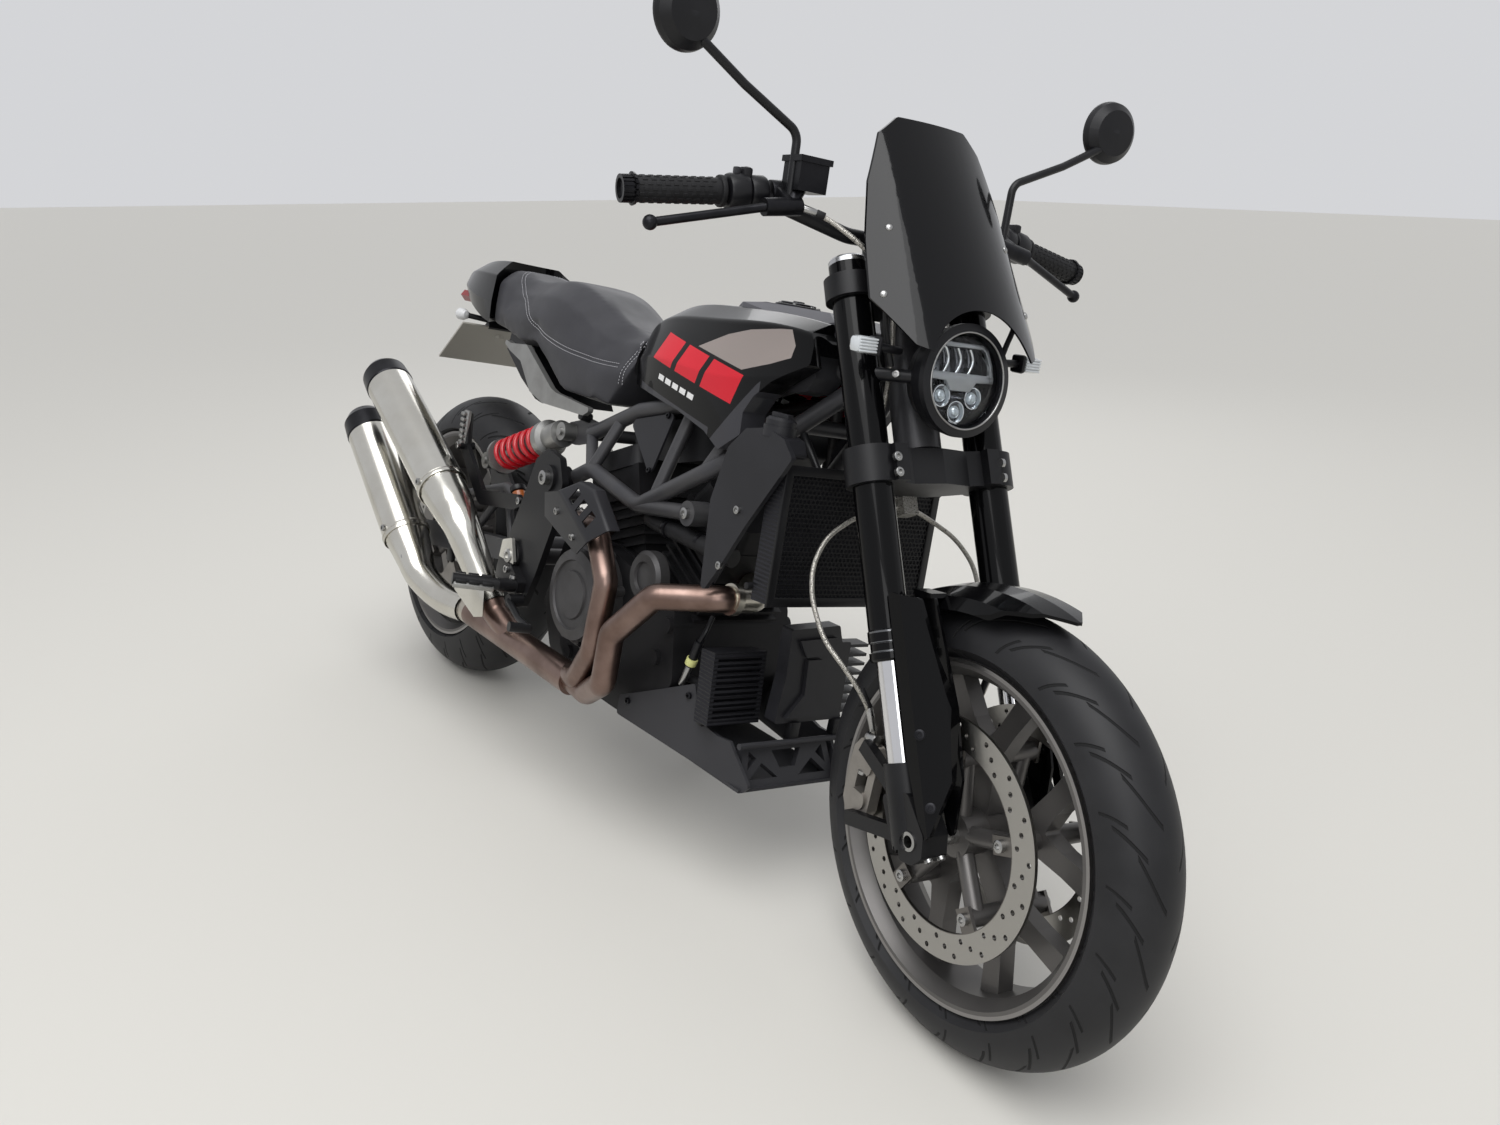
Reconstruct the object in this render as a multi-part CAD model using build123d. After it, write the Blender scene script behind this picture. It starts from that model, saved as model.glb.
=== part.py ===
from build123d import *
from functools import cache
from math import atan2, cos, degrees, pi, radians, sin, sqrt, tan
import os

# A standard road motorcycle, leaning on its side stand with the bars turned a little to the right.
# The machine is drawn upright and straight ahead, in millimetres: +X forward, +Y to its left, +Z up,
# the rear axle above the origin. At the end it is steered, leaned and set on the floor.

# Chassis
WHEELBASE = 1525
RAKE = 25.3
FORK_OFFSET = 38
LEAN = 12.75
STEER_AT_REST = -7.25

# Tyres: outer radius, crown radius, half the width at the bead
FRONT_TYRE_R = 300
FRONT_CROWN_R = 60
FRONT_BEAD = 48
REAR_TYRE_R = 315
REAR_CROWN_R = 90
REAR_BEAD = 76
BEAD_SEAT_R = 222
RIM_FLANGE_R = 229

# Fork
LEG_Y = 105
LEG_AHEAD = 20
OUTER_R = 27.5
STANCHION_R = 21.5
LEG_TOP = 774
OUTER_BOTTOM = 229
STANCHION_BOTTOM = 98
LOWER_CLAMP = (465, 515)
UPPER_CLAMP = (725, 757)
STEM_R = 16
FRONT_AXLE_R = 12.5
FRONT_AXLE_END = 128
FRONT_DISC_Y = 67
FRONT_DISC_R = 160
DISC_BOLT_R = 105
DISC_BOLT_TURN = 20
SPOKE_TURN = 24.5
LOCK = 30
CALIPER_TURN = 150

# Rear end
REAR_AXLE_R = 12.5
REAR_AXLE_END = 152
REAR_DISC_Y = -104
REAR_DISC_R = 132
CHAIN_Y = 108
ARM_Y = (120, 149)
SPROCKET_TEETH = 44
FRONT_TEETH = 16
FRONT_SPROCKET = (562, 365)
PITCH = 15.875
RUNNING_FIT = 0.05

# Controls
BAR_R = 11
GRIP_R = 17
BAR_END_Y = 415

TURN = radians(RAKE)
UP = Vector(-sin(TURN), 0, cos(TURN))
AHEAD = Vector(cos(TURN), 0, sin(TURN))
FRONT_AXLE = Vector(WHEELBASE, 0, FRONT_TYRE_R)
REAR_AXLE = Vector(0, 0, REAR_TYRE_R)
STEER_FOOT = FRONT_AXLE - AHEAD * FORK_OFFSET
STEER_FRAME = Plane(origin=STEER_FOOT, x_dir=AHEAD, z_dir=UP).location


def on_fork(along, ahead=LEG_AHEAD, y=0):
    """A point by its height along the steering axis, its distance ahead of it and its side."""
    return STEER_FOOT + UP * along + AHEAD * ahead + Vector(0, y, 0)


def rod(start, end, radius):
    start, end = Vector(start), Vector(end)
    return extrude(Plane(origin=start, z_dir=end - start) * Circle(radius), amount=(end - start).length)


def cross_rod(x, z, y0, y1, radius):
    return rod((x, y0, z), (x, y1, z), radius)


def tube(points, radius, bend=40):
    """A round tube along straight runs with bends of one radius."""
    path = FilletPolyline(*points, radius=bend) if len(points) > 2 else Line(*points)
    return sweep(Plane(origin=path @ 0, z_dir=path % 0) * Circle(radius), path=path)


def hose(points, radius):
    """A hose whose bends each use 0.45 of the shorter run beside them."""
    points = [Vector(point) for point in points]
    arcs = []
    for before, at, after in zip(points, points[1:], points[2:]):
        half_turn = radians((at - before).get_angle(after - at)) / 2
        arcs.append(0.45 * min((at - before).length, (after - at).length) / tan(half_turn))
    print("hose arcs, mm:", [round(arc) for arc in arcs])
    path = FilletPolyline(*points, radius=arcs)
    return sweep(Plane(origin=path @ 0, z_dir=path % 0) * Circle(radius), path=path)


def slab(outline, y0, y1, corner=0):
    """A side-view outline of (x, z) points, solid from y0 to y1."""
    points = [(x, z) for x, z in outline]
    wire = FilletPolyline(*points, radius=corner, close=True) if corner else Polyline(*points, close=True)
    face = make_face((Plane.XZ * wire).edges())
    return extrude(Pos(0, y0, 0) * face, amount=y1 - y0, dir=(0, 1, 0))


def turned(rows):
    """A ring or disc turned about Z from (radius, height) rows."""
    return revolve(make_face((Plane.XZ * Polyline(*rows, close=True)).edges()), Axis.Z)


def on_wheel(axle, part):
    """Lays a part turned about Z onto a wheel's axis, its +Z to the right."""
    return Pos(*axle) * Rot(90, 0, 0) * part


def both(part):
    return [part, mirror(part, about=Plane.XZ)]


def skin(sections, corner):
    """A body through faces across the machine: x, then (half width, height) rows, top to bottom."""
    faces = []
    for x, *rows in sections:
        right = [(x, -y, z) for y, z in rows]
        left = [(x, y, z) for y, z in reversed(rows)]
        faces.append(make_face(FilletPolyline(*right, *left, radius=corner, close=True).edges()))
    return loft(faces)


def front_view(x, outline, depth, corner=0):
    """An outline of (y, z) points seen from the front, solid from x back over its depth."""
    flat = Plane(origin=(x, 0, 0), x_dir=(0, 1, 0), z_dir=(1, 0, 0))
    points = [(y, z) for y, z in outline]
    wire = FilletPolyline(*points, radius=corner, close=True) if corner else Polyline(*points, close=True)
    return extrude(flat * make_face(wire.edges()), amount=-depth)


def mirrored(points):
    return [*points, *[(-y, z) for y, z in reversed(points) if y]]


FORK_SIDE = Plane(origin=FRONT_AXLE, x_dir=AHEAD, z_dir=(0, -1, 0))


def fork_slab(outline, y0, y1, corner=0):
    """An outline of (ahead, along) points beside the fork, solid from y0 to y1."""
    flat = Plane(origin=STEER_FOOT, x_dir=AHEAD, z_dir=(0, -1, 0))
    wire = FilletPolyline(*outline, radius=corner, close=True) if corner else Polyline(*outline, close=True)
    return extrude(flat * Pos(0, 0, -y1) * make_face(wire.edges()), amount=y1 - y0)


# Wheels

def tyre(outer_r, crown_r, bead, shoulder):
    middle = outer_r - crown_r
    side = sqrt(crown_r**2 - shoulder**2)
    low, high = (middle + shoulder, -side), (middle + shoulder, side)
    outline = Polyline(low, (BEAD_SEAT_R + 8, -bead), (BEAD_SEAT_R, -bead), (BEAD_SEAT_R, bead),
                       (BEAD_SEAT_R + 8, bead), high)
    crown = ThreePointArc(high, (outer_r, 0), low)
    face = make_face((Plane.XZ * outline).edges() + (Plane.XZ * crown).edges())
    return revolve(face, Axis.Z)


def rim(bead, hub_half, hub_r, bore_r, spoke_half, pad_r, pad_low, pad_high):
    """Five Y spokes that split before the rim, and an arm from the hub to each bolt pad."""
    lip = bead + 7
    seat = BEAD_SEAT_R
    ring = turned([(seat, -bead), (seat, bead), (RIM_FLANGE_R, bead), (RIM_FLANGE_R, lip), (seat - 3, lip),
                   (206, bead - 12), (206, 12 - bead), (seat - 3, -lip), (RIM_FLANGE_R, -lip),
                   (RIM_FLANGE_R, -bead)])
    wheel = ring + Cylinder(hub_r, 2 * hub_half)
    # radius, angle from the spoke's own middle
    outline = [(30, 40), (95, 13), (150, 20), (212, 25), (212, 16), (150, 9), (122, 0)]
    half = [(r * cos(radians(a)), r * sin(radians(a))) for r, a in outline]
    whole = half + [(x, -y) for x, y in reversed(half) if y]
    spoke = extrude(make_face(FilletPolyline(*whole, radius=5, close=True).edges()), spoke_half, both=True)
    for turn in range(5):
        wheel += Rot(0, 0, SPOKE_TURN + 72 * turn) * spoke
        pad = Pos(pad_r, 0, (pad_low + pad_high) / 2) * Cylinder(13, pad_high - pad_low)
        for end in (pad_low + 14, pad_high - 14):
            pad += rod((hub_r - 6, 0, end * 0.8), (pad_r, 0, end), 12)
        wheel += Rot(0, 0, DISC_BOLT_TURN + 72 * turn) * pad
    return wheel - Cylinder(bore_r, 4 * hub_half)


def brake_disc(radius, inner, thick, bolt_r, holes):
    """A ring with three rows of holes and a tab to each bolt."""
    face = Circle(radius) - Circle(inner)
    for turn in range(5):
        tab = Pos((bolt_r + inner) / 2 - 1, 0) * Rectangle(inner - bolt_r + 26, 24)
        face += Rot(0, 0, DISC_BOLT_TURN + 72 * turn) * tab
    drill = Circle(3.5)
    for row in range(3):
        at = inner + (radius - inner) * (0.25 + 0.25 * row)
        face -= [Rot(0, 0, 360 * (turn + row / 3) / holes) * Pos(at, 0) * drill for turn in range(holes)]
    return extrude(face, thick / 2, both=True)


@cache
def front_tyre():
    return [on_wheel(FRONT_AXLE, tyre(FRONT_TYRE_R, FRONT_CROWN_R, FRONT_BEAD, 2))]


@cache
def front_rim():
    face = FRONT_DISC_Y - 2.5
    wheel = rim(FRONT_BEAD, 52, 30, FRONT_AXLE_R + RUNNING_FIT, 13, DISC_BOLT_R, -face, face)
    return [on_wheel(FRONT_AXLE, wheel)]


@cache
def front_discs():
    disc = brake_disc(FRONT_DISC_R, 122, 5, DISC_BOLT_R, 18)
    return [on_wheel(FRONT_AXLE, Pos(0, 0, side * FRONT_DISC_Y) * disc) for side in (-1, 1)]


@cache
def rear_tyre():
    return [on_wheel(REAR_AXLE, tyre(REAR_TYRE_R, REAR_CROWN_R, REAR_BEAD, 11))]


@cache
def rear_rim():
    disc_face = -REAR_DISC_Y - 2.5
    sprocket_face = CHAIN_Y - 4
    wheel = rim(REAR_BEAD, 92, 38, REAR_AXLE_R + RUNNING_FIT, 15, 64, -sprocket_face, disc_face)
    return [on_wheel(REAR_AXLE, wheel)]


@cache
def rear_disc():
    return [on_wheel(REAR_AXLE, Pos(0, 0, -REAR_DISC_Y) * brake_disc(REAR_DISC_R, 92, 5, 64, 14))]


@cache
def sprocket():
    pitch_r = PITCH / (2 * sin(pi / SPROCKET_TEETH))
    step = 360 / SPROCKET_TEETH
    # share of one tooth's turn, radius
    tooth = [(0.12, pitch_r + 3), (0.3, pitch_r - 4), (0.7, pitch_r - 4), (0.88, pitch_r + 3)]
    rows = [(r, radians((i + share) * step)) for i in range(SPROCKET_TEETH) for share, r in tooth]
    face = make_face(Polyline(*[(r * cos(a), r * sin(a)) for r, a in rows], close=True).edges())
    face -= Circle(50)
    for turn in range(5):
        face -= Rot(0, 0, 72 * turn) * Pos(92, 0) * Rot(0, 0, 90) * SlotCenterToCenter(34, 16)
    return [on_wheel(REAR_AXLE, Pos(0, 0, -CHAIN_Y) * extrude(face, 4, both=True))]


# Steering

def leg_turned(rows):
    return Plane(origin=on_fork(0, y=-LEG_Y), x_dir=AHEAD, z_dir=UP) * turned(rows)


@cache
def fork_outers():
    low, high = OUTER_BOTTOM, LEG_TOP
    return both(leg_turned([(0, low), (27, low), (29.5, low + 3), (29.5, low + 12), (27, low + 13), (27, low + 24),
                            (29, low + 25), (29, low + 40), (OUTER_R, low + 42), (OUTER_R, high + 8), (25, high + 11), (14, high + 11),
                            (14, high + 6), (7, high + 6), (7, high + 13), (0, high + 13)]))


@cache
def stanchions():
    return both(rod(on_fork(STANCHION_BOTTOM, y=-LEG_Y), on_fork(OUTER_BOTTOM, y=-LEG_Y), STANCHION_R))


@cache
def front_axle():
    axle = cross_rod(FRONT_AXLE.X, FRONT_AXLE.Z, -FRONT_AXLE_END, FRONT_AXLE_END, FRONT_AXLE_R)
    return [axle - cross_rod(FRONT_AXLE.X, FRONT_AXLE.Z, -FRONT_AXLE_END - 1, FRONT_AXLE_END + 1, 8)]


@cache
def fork_bottoms():
    """A casting on each leg: a socket for the tube, a clamp on the axle and two arms to the caliper."""
    leg = rod(on_fork(-10, y=-LEG_Y), on_fork(STANCHION_BOTTOM, y=-LEG_Y), 27)
    outline = [(-6, 60), (46, 60), (66, 6), (58, -22), (36, -30), (16, -24), (0, 0)]
    body = leg + fork_slab(outline, -126, -84, 8)
    for across in (-46, 46):
        arm = Rot(0, 0, CALIPER_TURN) * Pos(80, across * 0.7, 99) * Rot(0, 0, across * 0.4) * Box(150, 20, 14)
        body += FORK_SIDE * arm
    body -= fork_slab([(10, -60), (14, -60), (14, -6), (10, -6)], -140, -70)
    body -= front_calipers()[0]
    return both(body - cross_rod(FRONT_AXLE.X, FRONT_AXLE.Z, -200, 0, FRONT_AXLE_R))


@cache
def front_calipers():
    """Each caliper straddles its disc's edge behind the leg: two halves, a bridge and four pistons."""
    # radius, across
    outline = [(125, -38), (138, -56), (168, -58), (180, -40), (183, 0), (180, 40), (168, 58), (138, 56), (125, 38)]
    flat = Pos(0, 0, 44) * make_face(FilletPolyline(*outline, radius=7, close=True).edges())
    block = extrude(flat, amount=48)
    for across in (-26, 26):
        block += Pos(148, across, 93) * Cylinder(16, 6)
        block += Pos(148, across, 43) * Cylinder(16, 4)
    block -= Pos(0, 0, FRONT_DISC_Y) * Cylinder(169, 16)
    block -= Pos(150, 0, FRONT_DISC_Y) * Box(22, 30, 60)
    return both(FORK_SIDE * Rot(0, 0, CALIPER_TURN) * block)


@cache
def front_brake_hoses():
    """From the master cylinder to a splitter under the lower clamp, and on to each caliper."""
    top = hose([(1160, -188, 1060), (1176, -152, 1052), (1214, -112, 1022), on_fork(745, 62, -62),
                on_fork(640, 26, -52), on_fork(560, -18, -50), on_fork(494, -50, -30), on_fork(462, -46, -8)], 3.5)
    side = hose([on_fork(452, -44, -8), (1236, -62, 656), (1246, -120, 626), (1264, -150, 589), (1282, -156, 547),
                 (1318, -152, 500), (1352, -140, 475), (1371, -118, 444), (1378, -96, 408), (1381, -85, 374)], 3.5)
    block = Plane(origin=on_fork(452, -42), x_dir=AHEAD, z_dir=UP) * Box(26, 26, 26)
    return [block + top + side + mirror(side, about=Plane.XZ) - front_calipers()[0] - front_calipers()[1]]


def clamp_plate(low, high, wings):
    """A yoke between the legs: a bridge with a waist, a clamp round each leg and its bolts' ears."""
    flat = Plane(origin=on_fork(low, 0), x_dir=AHEAD, z_dir=UP)
    # ahead, side
    half = [(50, 0), (42, 50), (48, 74), (24, LEG_Y), (-8, 82), (-32, 34), (-34, 0)]
    whole = half + [(x, -y) for x, y in reversed(half) if y]
    face = make_face(Polyline(*whole, close=True).edges())
    for side in (-1, 1):
        face += Pos(LEG_AHEAD, side * LEG_Y) * Circle(OUTER_R + 9)
        face += Pos(LEG_AHEAD + 30, side * (LEG_Y - 22)) * Rectangle(wings, 22)
    for side in (-1, 1):
        face -= Pos(LEG_AHEAD, side * LEG_Y) * Circle(OUTER_R)
    return extrude(flat * face, amount=high - low)


@cache
def lower_clamp():
    low, high = LOWER_CLAMP
    stem = rod(on_fork(high, 0), on_fork(UPPER_CLAMP[0], 0), STEM_R)
    return [clamp_plate(low, high, 24) + stem]


@cache
def upper_clamp():
    low, high = UPPER_CLAMP
    return [clamp_plate(low, high, 12)]


BAR_ROUTE = [(1148, 0, 1036), (1148, 95, 1036), (1112, 235, 1072), (1092, BAR_END_Y, 1047)]


@cache
def handlebar():
    left = BAR_ROUTE[1:]
    right = [(x, -y, z) for x, y, z in reversed(left)]
    bar = tube(right + left, BAR_R, 50)
    for side in (-45, 45):
        bar += rod(on_fork(UPPER_CLAMP[1], -2, side), (1148, side, 1030), 17)
    return [bar - upper_clamp()[0]]


def grip_axis():
    start, end = Vector(*BAR_ROUTE[2]), Vector(*BAR_ROUTE[3])
    return start, (end - start).normalized()


@cache
def grips():
    start, along = grip_axis()
    sleeve = rod(start + along * 46, start + along * 172, GRIP_R) - rod(start, start + along * 200, BAR_R)
    return both(sleeve)


@cache
def switchgear():
    start, along = grip_axis()
    block = Plane(origin=start + along * 10, z_dir=along, x_dir=(1, 0, 0)) * Box(40, 44, 60)
    return both(block - handlebar()[0] - grips()[1])


@cache
def levers():
    """The two levers on their master cylinders, the right one under the square brake reservoir."""
    root = Vector(1160, 215, 1058)
    body = rod(root + Vector(-4, -30, 3), root + Vector(-4, 26, -6), 12)
    blade = tube([root + Vector(0, 18, -4), Vector(1152, 260, 1046), Vector(1128, 390, 1009)], 6, 60)
    ball = Pos(1128, 390, 1009) * Sphere(10)
    left = body + blade + ball
    cup = Pos(1146, -176, 1100) * Box(42, 46, 38) + Pos(1146, -176, 1122) * Box(48, 52, 8)
    cup += rod((1148, -180, 1090), (1154, -198, 1062), 9)
    right = mirror(left, about=Plane.XZ) + cup
    return [left - mirrors()[0] - handlebar()[0],
            right - mirrors()[1] - handlebar()[0] - front_brake_hoses()[0]]


@cache
def mirrors():
    stalk = tube([(1146, 197, 1066), (1146, 198, 1154), (1149, 290, 1196), (1150, 366, 1238)], 6, 22)
    head = Plane(origin=(1150, 380, 1262), z_dir=(-1, 0.12, 0.05)) * turned(
        [(0, -12), (34, -10), (45, 0), (47, 8), (47, 12), (0, 12)])
    return both(stalk + head)


LAMP = Vector(1337, 0, 866)
LAMP_AXIS = Vector(cos(radians(6)), 0, sin(radians(6)))


def in_lamp(shape):
    """Lays a shape drawn flat, with its +Z forward, into the lamp's mouth."""
    return Plane(origin=LAMP, x_dir=(0, 1, 0), z_dir=LAMP_AXIS) * shape


@cache
def headlamp_shell():
    bowl = turned([(0, -66), (38, -64), (60, -50), (72, -26), (76, -6), (76, 3), (66, 6), (64, 0), (64, -40),
                   (0, -40)])
    arm = rod(LAMP + Vector(-30, 62, -4), on_fork(620, LEG_AHEAD + 10, LEG_Y), 9) - fork_outers()[1]
    arm -= in_lamp(Pos(0, 0, -10) * Cylinder(64, 60))
    return [in_lamp(bowl) + arm.solids() + mirror(arm, about=Plane.XZ).solids()]


@cache
def headlamp_unit():
    """The light inside: a dipped bar, three fins above it and three projector lenses below."""
    unit = Pos(0, 0, -38) * Cylinder(63.5, 4)
    # side, height
    bar = [(-60, 8), (-20, 8), (-12, -4), (12, -4), (20, 8), (60, 8), (60, 0), (26, 0), (16, -12), (-16, -12),
           (-26, 0), (-60, 0)]
    unit += extrude(Pos(0, 0, -40) * make_face(Polyline(*bar, close=True).edges()), amount=26)
    for at in (-22, 0, 22):
        ring = Cylinder(46, 18) - Cylinder(43.5, 30)
        fin = (Pos(at - 44, 20, -31) * ring) & (Pos(at, 30, -31) * Box(22, 38, 30))
        unit += fin
    for across, up in ((-28, -22), (28, -22), (0, -42)):
        unit += Pos(across, up, -30) * Cylinder(13, 20)
        unit += Pos(across, up, -24) * Sphere(11)
    return [in_lamp(unit)]


@cache
def headlamp_lens():
    return [in_lamp(turned([(0, 8), (40, 5), (58, -1), (63.5, -6), (63.5, -9), (58, -4), (40, 2), (0, 5)]))]


@cache
def fly_screen():
    """A thin cone of a screen, cut to its outline seen from the front, with an arch over the lamp."""
    faces = []
    # height, x in the middle, x at its edges, half width
    for z, middle, edge, half in ((1215, 1174, 1139, 110), (885, 1398, 1326, 150)):
        outer = ThreePointArc((edge, -half, z), (middle, 0, z), (edge, half, z))
        inner = ThreePointArc((edge - 4, half, z), (middle - 4, 0, z), (edge - 4, -half, z))
        ends = Line(outer @ 1, inner @ 0), Line(inner @ 1, outer @ 0)
        faces.append(make_face([outer.edge(), ends[0].edge(), inner.edge(), ends[1].edge()]))
    wall = loft(faces, ruled=True)
    # half width, height
    half = [(60, 1200), (90, 1174), (116, 1106), (128, 1051), (138, 1002), (142, 956), (106, 906), (84, 900),
            (0, 894)]
    outline = front_view(1500, [*half, *[(-y, z) for y, z in reversed(half) if y]], 600, 6)
    arch = in_lamp(Pos(0, 0, -50) * Cylinder(92, 300))
    return [(wall & outline) - arch]


@cache
def front_mudguard():
    """The guard over the tyre, and a shield in front of each leg that carries it."""
    # half width, radius
    half = [(0, 326), (34, 322), (60, 309), (71, 292), (67, 291), (57, 305), (32, 318), (0, 322)]
    shell = turned([(r, y) for y, r in half[:4]] + [(r, y) for y, r in half[4:]])
    guard = on_wheel(FRONT_AXLE, shell)
    guard += mirror(guard, about=Plane.XZ)
    guard &= slab([(1400, 700), (1640, 700), (1600, 540), (1440, 560), (1310, 520), (1290, 600)], -90, 90)
    # x, half width
    plan = [(1612, 4), (1575, 42), (1530, 66), (1480, 76), (1330, 74), (1306, 50)]
    ring = plan + [(x, -y) for x, y in reversed(plan)]
    guard &= Pos(0, 0, 400) * extrude(make_face(Polyline(*ring, close=True).edges()), amount=400)
    side = fork_slab([(52, 318), (90, 302), (106, 160), (100, 70), (74, 6), (62, -4), (56, 60), (52, 100)],
                     -127, -77, 6)
    flat = Plane(origin=on_fork(-20, 0), x_dir=AHEAD, z_dir=UP)
    outer = [(45, -127), (72, -124), (104, -94), (112, -77), (45, -77)]
    inner = [(40, -123), (70, -120), (99, -93), (104, -81), (40, -81)]
    wrap = extrude(flat * make_face(Polyline(*outer, close=True).edges()), amount=340)
    wrap -= extrude(flat * make_face(Polyline(*inner, close=True).edges()), amount=340)
    shield = (side & wrap) - fork_bottoms()[0] - fork_outers()[0]
    link = fork_slab([(54, 320), (88, 308), (92, 250), (58, 250)], -84, -58)
    link -= on_wheel(FRONT_AXLE, Cylinder(306, 200))
    shield = (shield + link).solids().sort_by(SortBy.VOLUME)[-1]
    return [guard + shield + mirror(shield, about=Plane.XZ)]


@cache
def front_indicators():
    stalk = rod((1294, 62, 892), (1298, 140, 896), 6)
    lamp = Plane(origin=(1286, 150, 896), z_dir=(1, 0, 0)) * turned(
        [(0, -12), (10, -10), (15, 0), (16, 12), (13, 24), (0, 27)])
    return both((stalk - fork_outers()[1]).solids()[-1] + lamp)


@cache
def instrument():
    return [Plane(origin=(1186, 0, 1084), x_dir=(0, 1, 0), z_dir=(-0.8, 0, 0.6)) * Box(130, 70, 24)]


# Frame and engine

RAIL_R = 14
BRACE_R = 11
# The right side's joints: x, y, z
JOINTS = {
    "pivot": (566, -132, 556),
    "bend": (632, -132, 590),
    "node": (795, -132, 561),
    "climb": (955, -130, 650),
    "head": (1085, -68, 755),
    "neck": (1176, -26, 846),
    "lug": (956, -131, 585),
    "tail": (554, -95, 642),
    "rail": (700, -95, 709),
    "high": (1000, -80, 790),
    "crown": (1188, -24, 872),
    "brace_c": (650, -95, 686),
    "brace_d": (850, -89, 748),
    "brace_e": (836, -132, 582),
}
MAIN_TUBE = ("pivot", "bend", "node", "climb", "head", "neck")
UPPER_TUBE = ("tail", "rail", "high", "crown")
BRACES = [("brace_c", "bend"), ("brace_d", "brace_e"), ("high", "climb"), ("tail", "bend")]
SHOCK_TOP = Vector(491, -110, 633)
SHOCK_FOOT = Vector(205, -110, 520)


@cache
def frame_trellis():
    side = tube([JOINTS[n] for n in MAIN_TUBE], RAIL_R, 50) + tube([JOINTS[n] for n in UPPER_TUBE], RAIL_R, 60)
    side += rod(JOINTS["node"], JOINTS["lug"], 13)
    side += cross_rod(JOINTS["lug"][0], JOINTS["lug"][2], -150, -112, 20)
    for a, b in BRACES:
        side += rod(JOINTS[a], JOINTS[b], BRACE_R)
    frame = side + mirror(side, about=Plane.XZ)
    frame += [cross_rod(JOINTS["rail"][0], JOINTS["rail"][2], -95, 95, 12),
              cross_rod(JOINTS["head"][0], JOINTS["head"][2], -66, 66, 12),
              cross_rod(JOINTS["tail"][0], JOINTS["tail"][2], -95, 95, 12)]
    hanger = slab([(476, 612), (476, 650), (540, 668), (590, 664), (570, 630), (506, 612)], -99, -91)
    frame += [hanger, cross_rod(SHOCK_TOP.X, SHOCK_TOP.Z, -99, -91, 20)]
    head_low, head_high = on_fork(LOWER_CLAMP[1] + 7, 0), on_fork(UPPER_CLAMP[0] - 7, 0)
    frame += rod(head_low, head_high, 33)
    return [frame - rod(head_low - UP, head_high + UP, STEM_R + 5)]


@cache
def frame_infills():
    """The flat covers between the trellis tubes on each side."""
    corners = [(688, -103, 690), (812, -99, 724), (800, -122, 612), (782, -125, 598)]
    low = Vector(*corners[0])
    across, down = Vector(*corners[1]) - low, Vector(*corners[2]) - low
    flat = Plane(origin=low, x_dir=across, z_dir=across.cross(down))
    points = [flat.to_local_coords(Vector(*p)) for p in corners[:3]]
    face = make_face(FilletPolyline(*[(p.X, p.Y) for p in points], radius=9, close=True).edges())
    return both(extrude(flat * face, amount=2, both=True) - frame_trellis()[0])


@cache
def crankcase():
    case = [(470, 300), (520, 215), (860, 205), (960, 300), (930, 430), (700, 470), (520, 450)]
    block = slab(case, -92, 92, 18)
    wide = [(600, 250), (680, 205), (860, 205), (960, 300), (930, 430), (700, 468), (600, 440)]
    block += slab(wide, -122, 122, 24)
    block += slab([(620, 215), (860, 215), (840, 178), (650, 178)], -70, 70, 10)
    for x, z in ((905, 330), (640, 250), (926, 392)):
        block += cross_rod(x, z, -130, 130, 13)
    return [block - Pos(545, CHAIN_Y, 365) * Box(160, 30, 170)]


CYLINDERS = [  # foot of its axis: x, z; lean forward in degrees; how far its barrel and head reach
    (870, 420, 28, 205),
    (705, 448, -21, 190),
]


@cache
def cylinders():
    """Each barrel with its cooling ribs, the head above it and a rounded cam cover."""
    pots = []
    for x, z, lean, reach in CYLINDERS:
        up = Vector(sin(radians(lean)), 0, cos(radians(lean)))
        foot = Plane(origin=(x, 0, z), x_dir=(0, 1, 0), z_dir=up)
        pot = foot * Pos(0, 0, reach * 0.28) * Box(156, 126, reach * 0.56)
        for rib in range(5):
            pot += foot * Pos(0, 0, reach * (0.1 + 0.09 * rib)) * Box(176, 146, 5)
        pot += foot * Pos(0, 0, reach * 0.68) * Box(190, 152, reach * 0.3)
        flat = Plane(origin=foot.origin + up * reach * 0.82, x_dir=(0, 1, 0), z_dir=up)
        pot += extrude(flat * RectangleRounded(196, 150, 26), amount=reach * 0.2, taper=14)
        pots.append(pot - crankcase()[0] - frame_trellis()[0])
    front, rear = pots
    pipes = exhaust_headers()[0]
    ports = [pot.solids().sort_by(SortBy.VOLUME)[-1] for pot in (front - pipes, rear - front - pipes)]
    return ports


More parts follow.
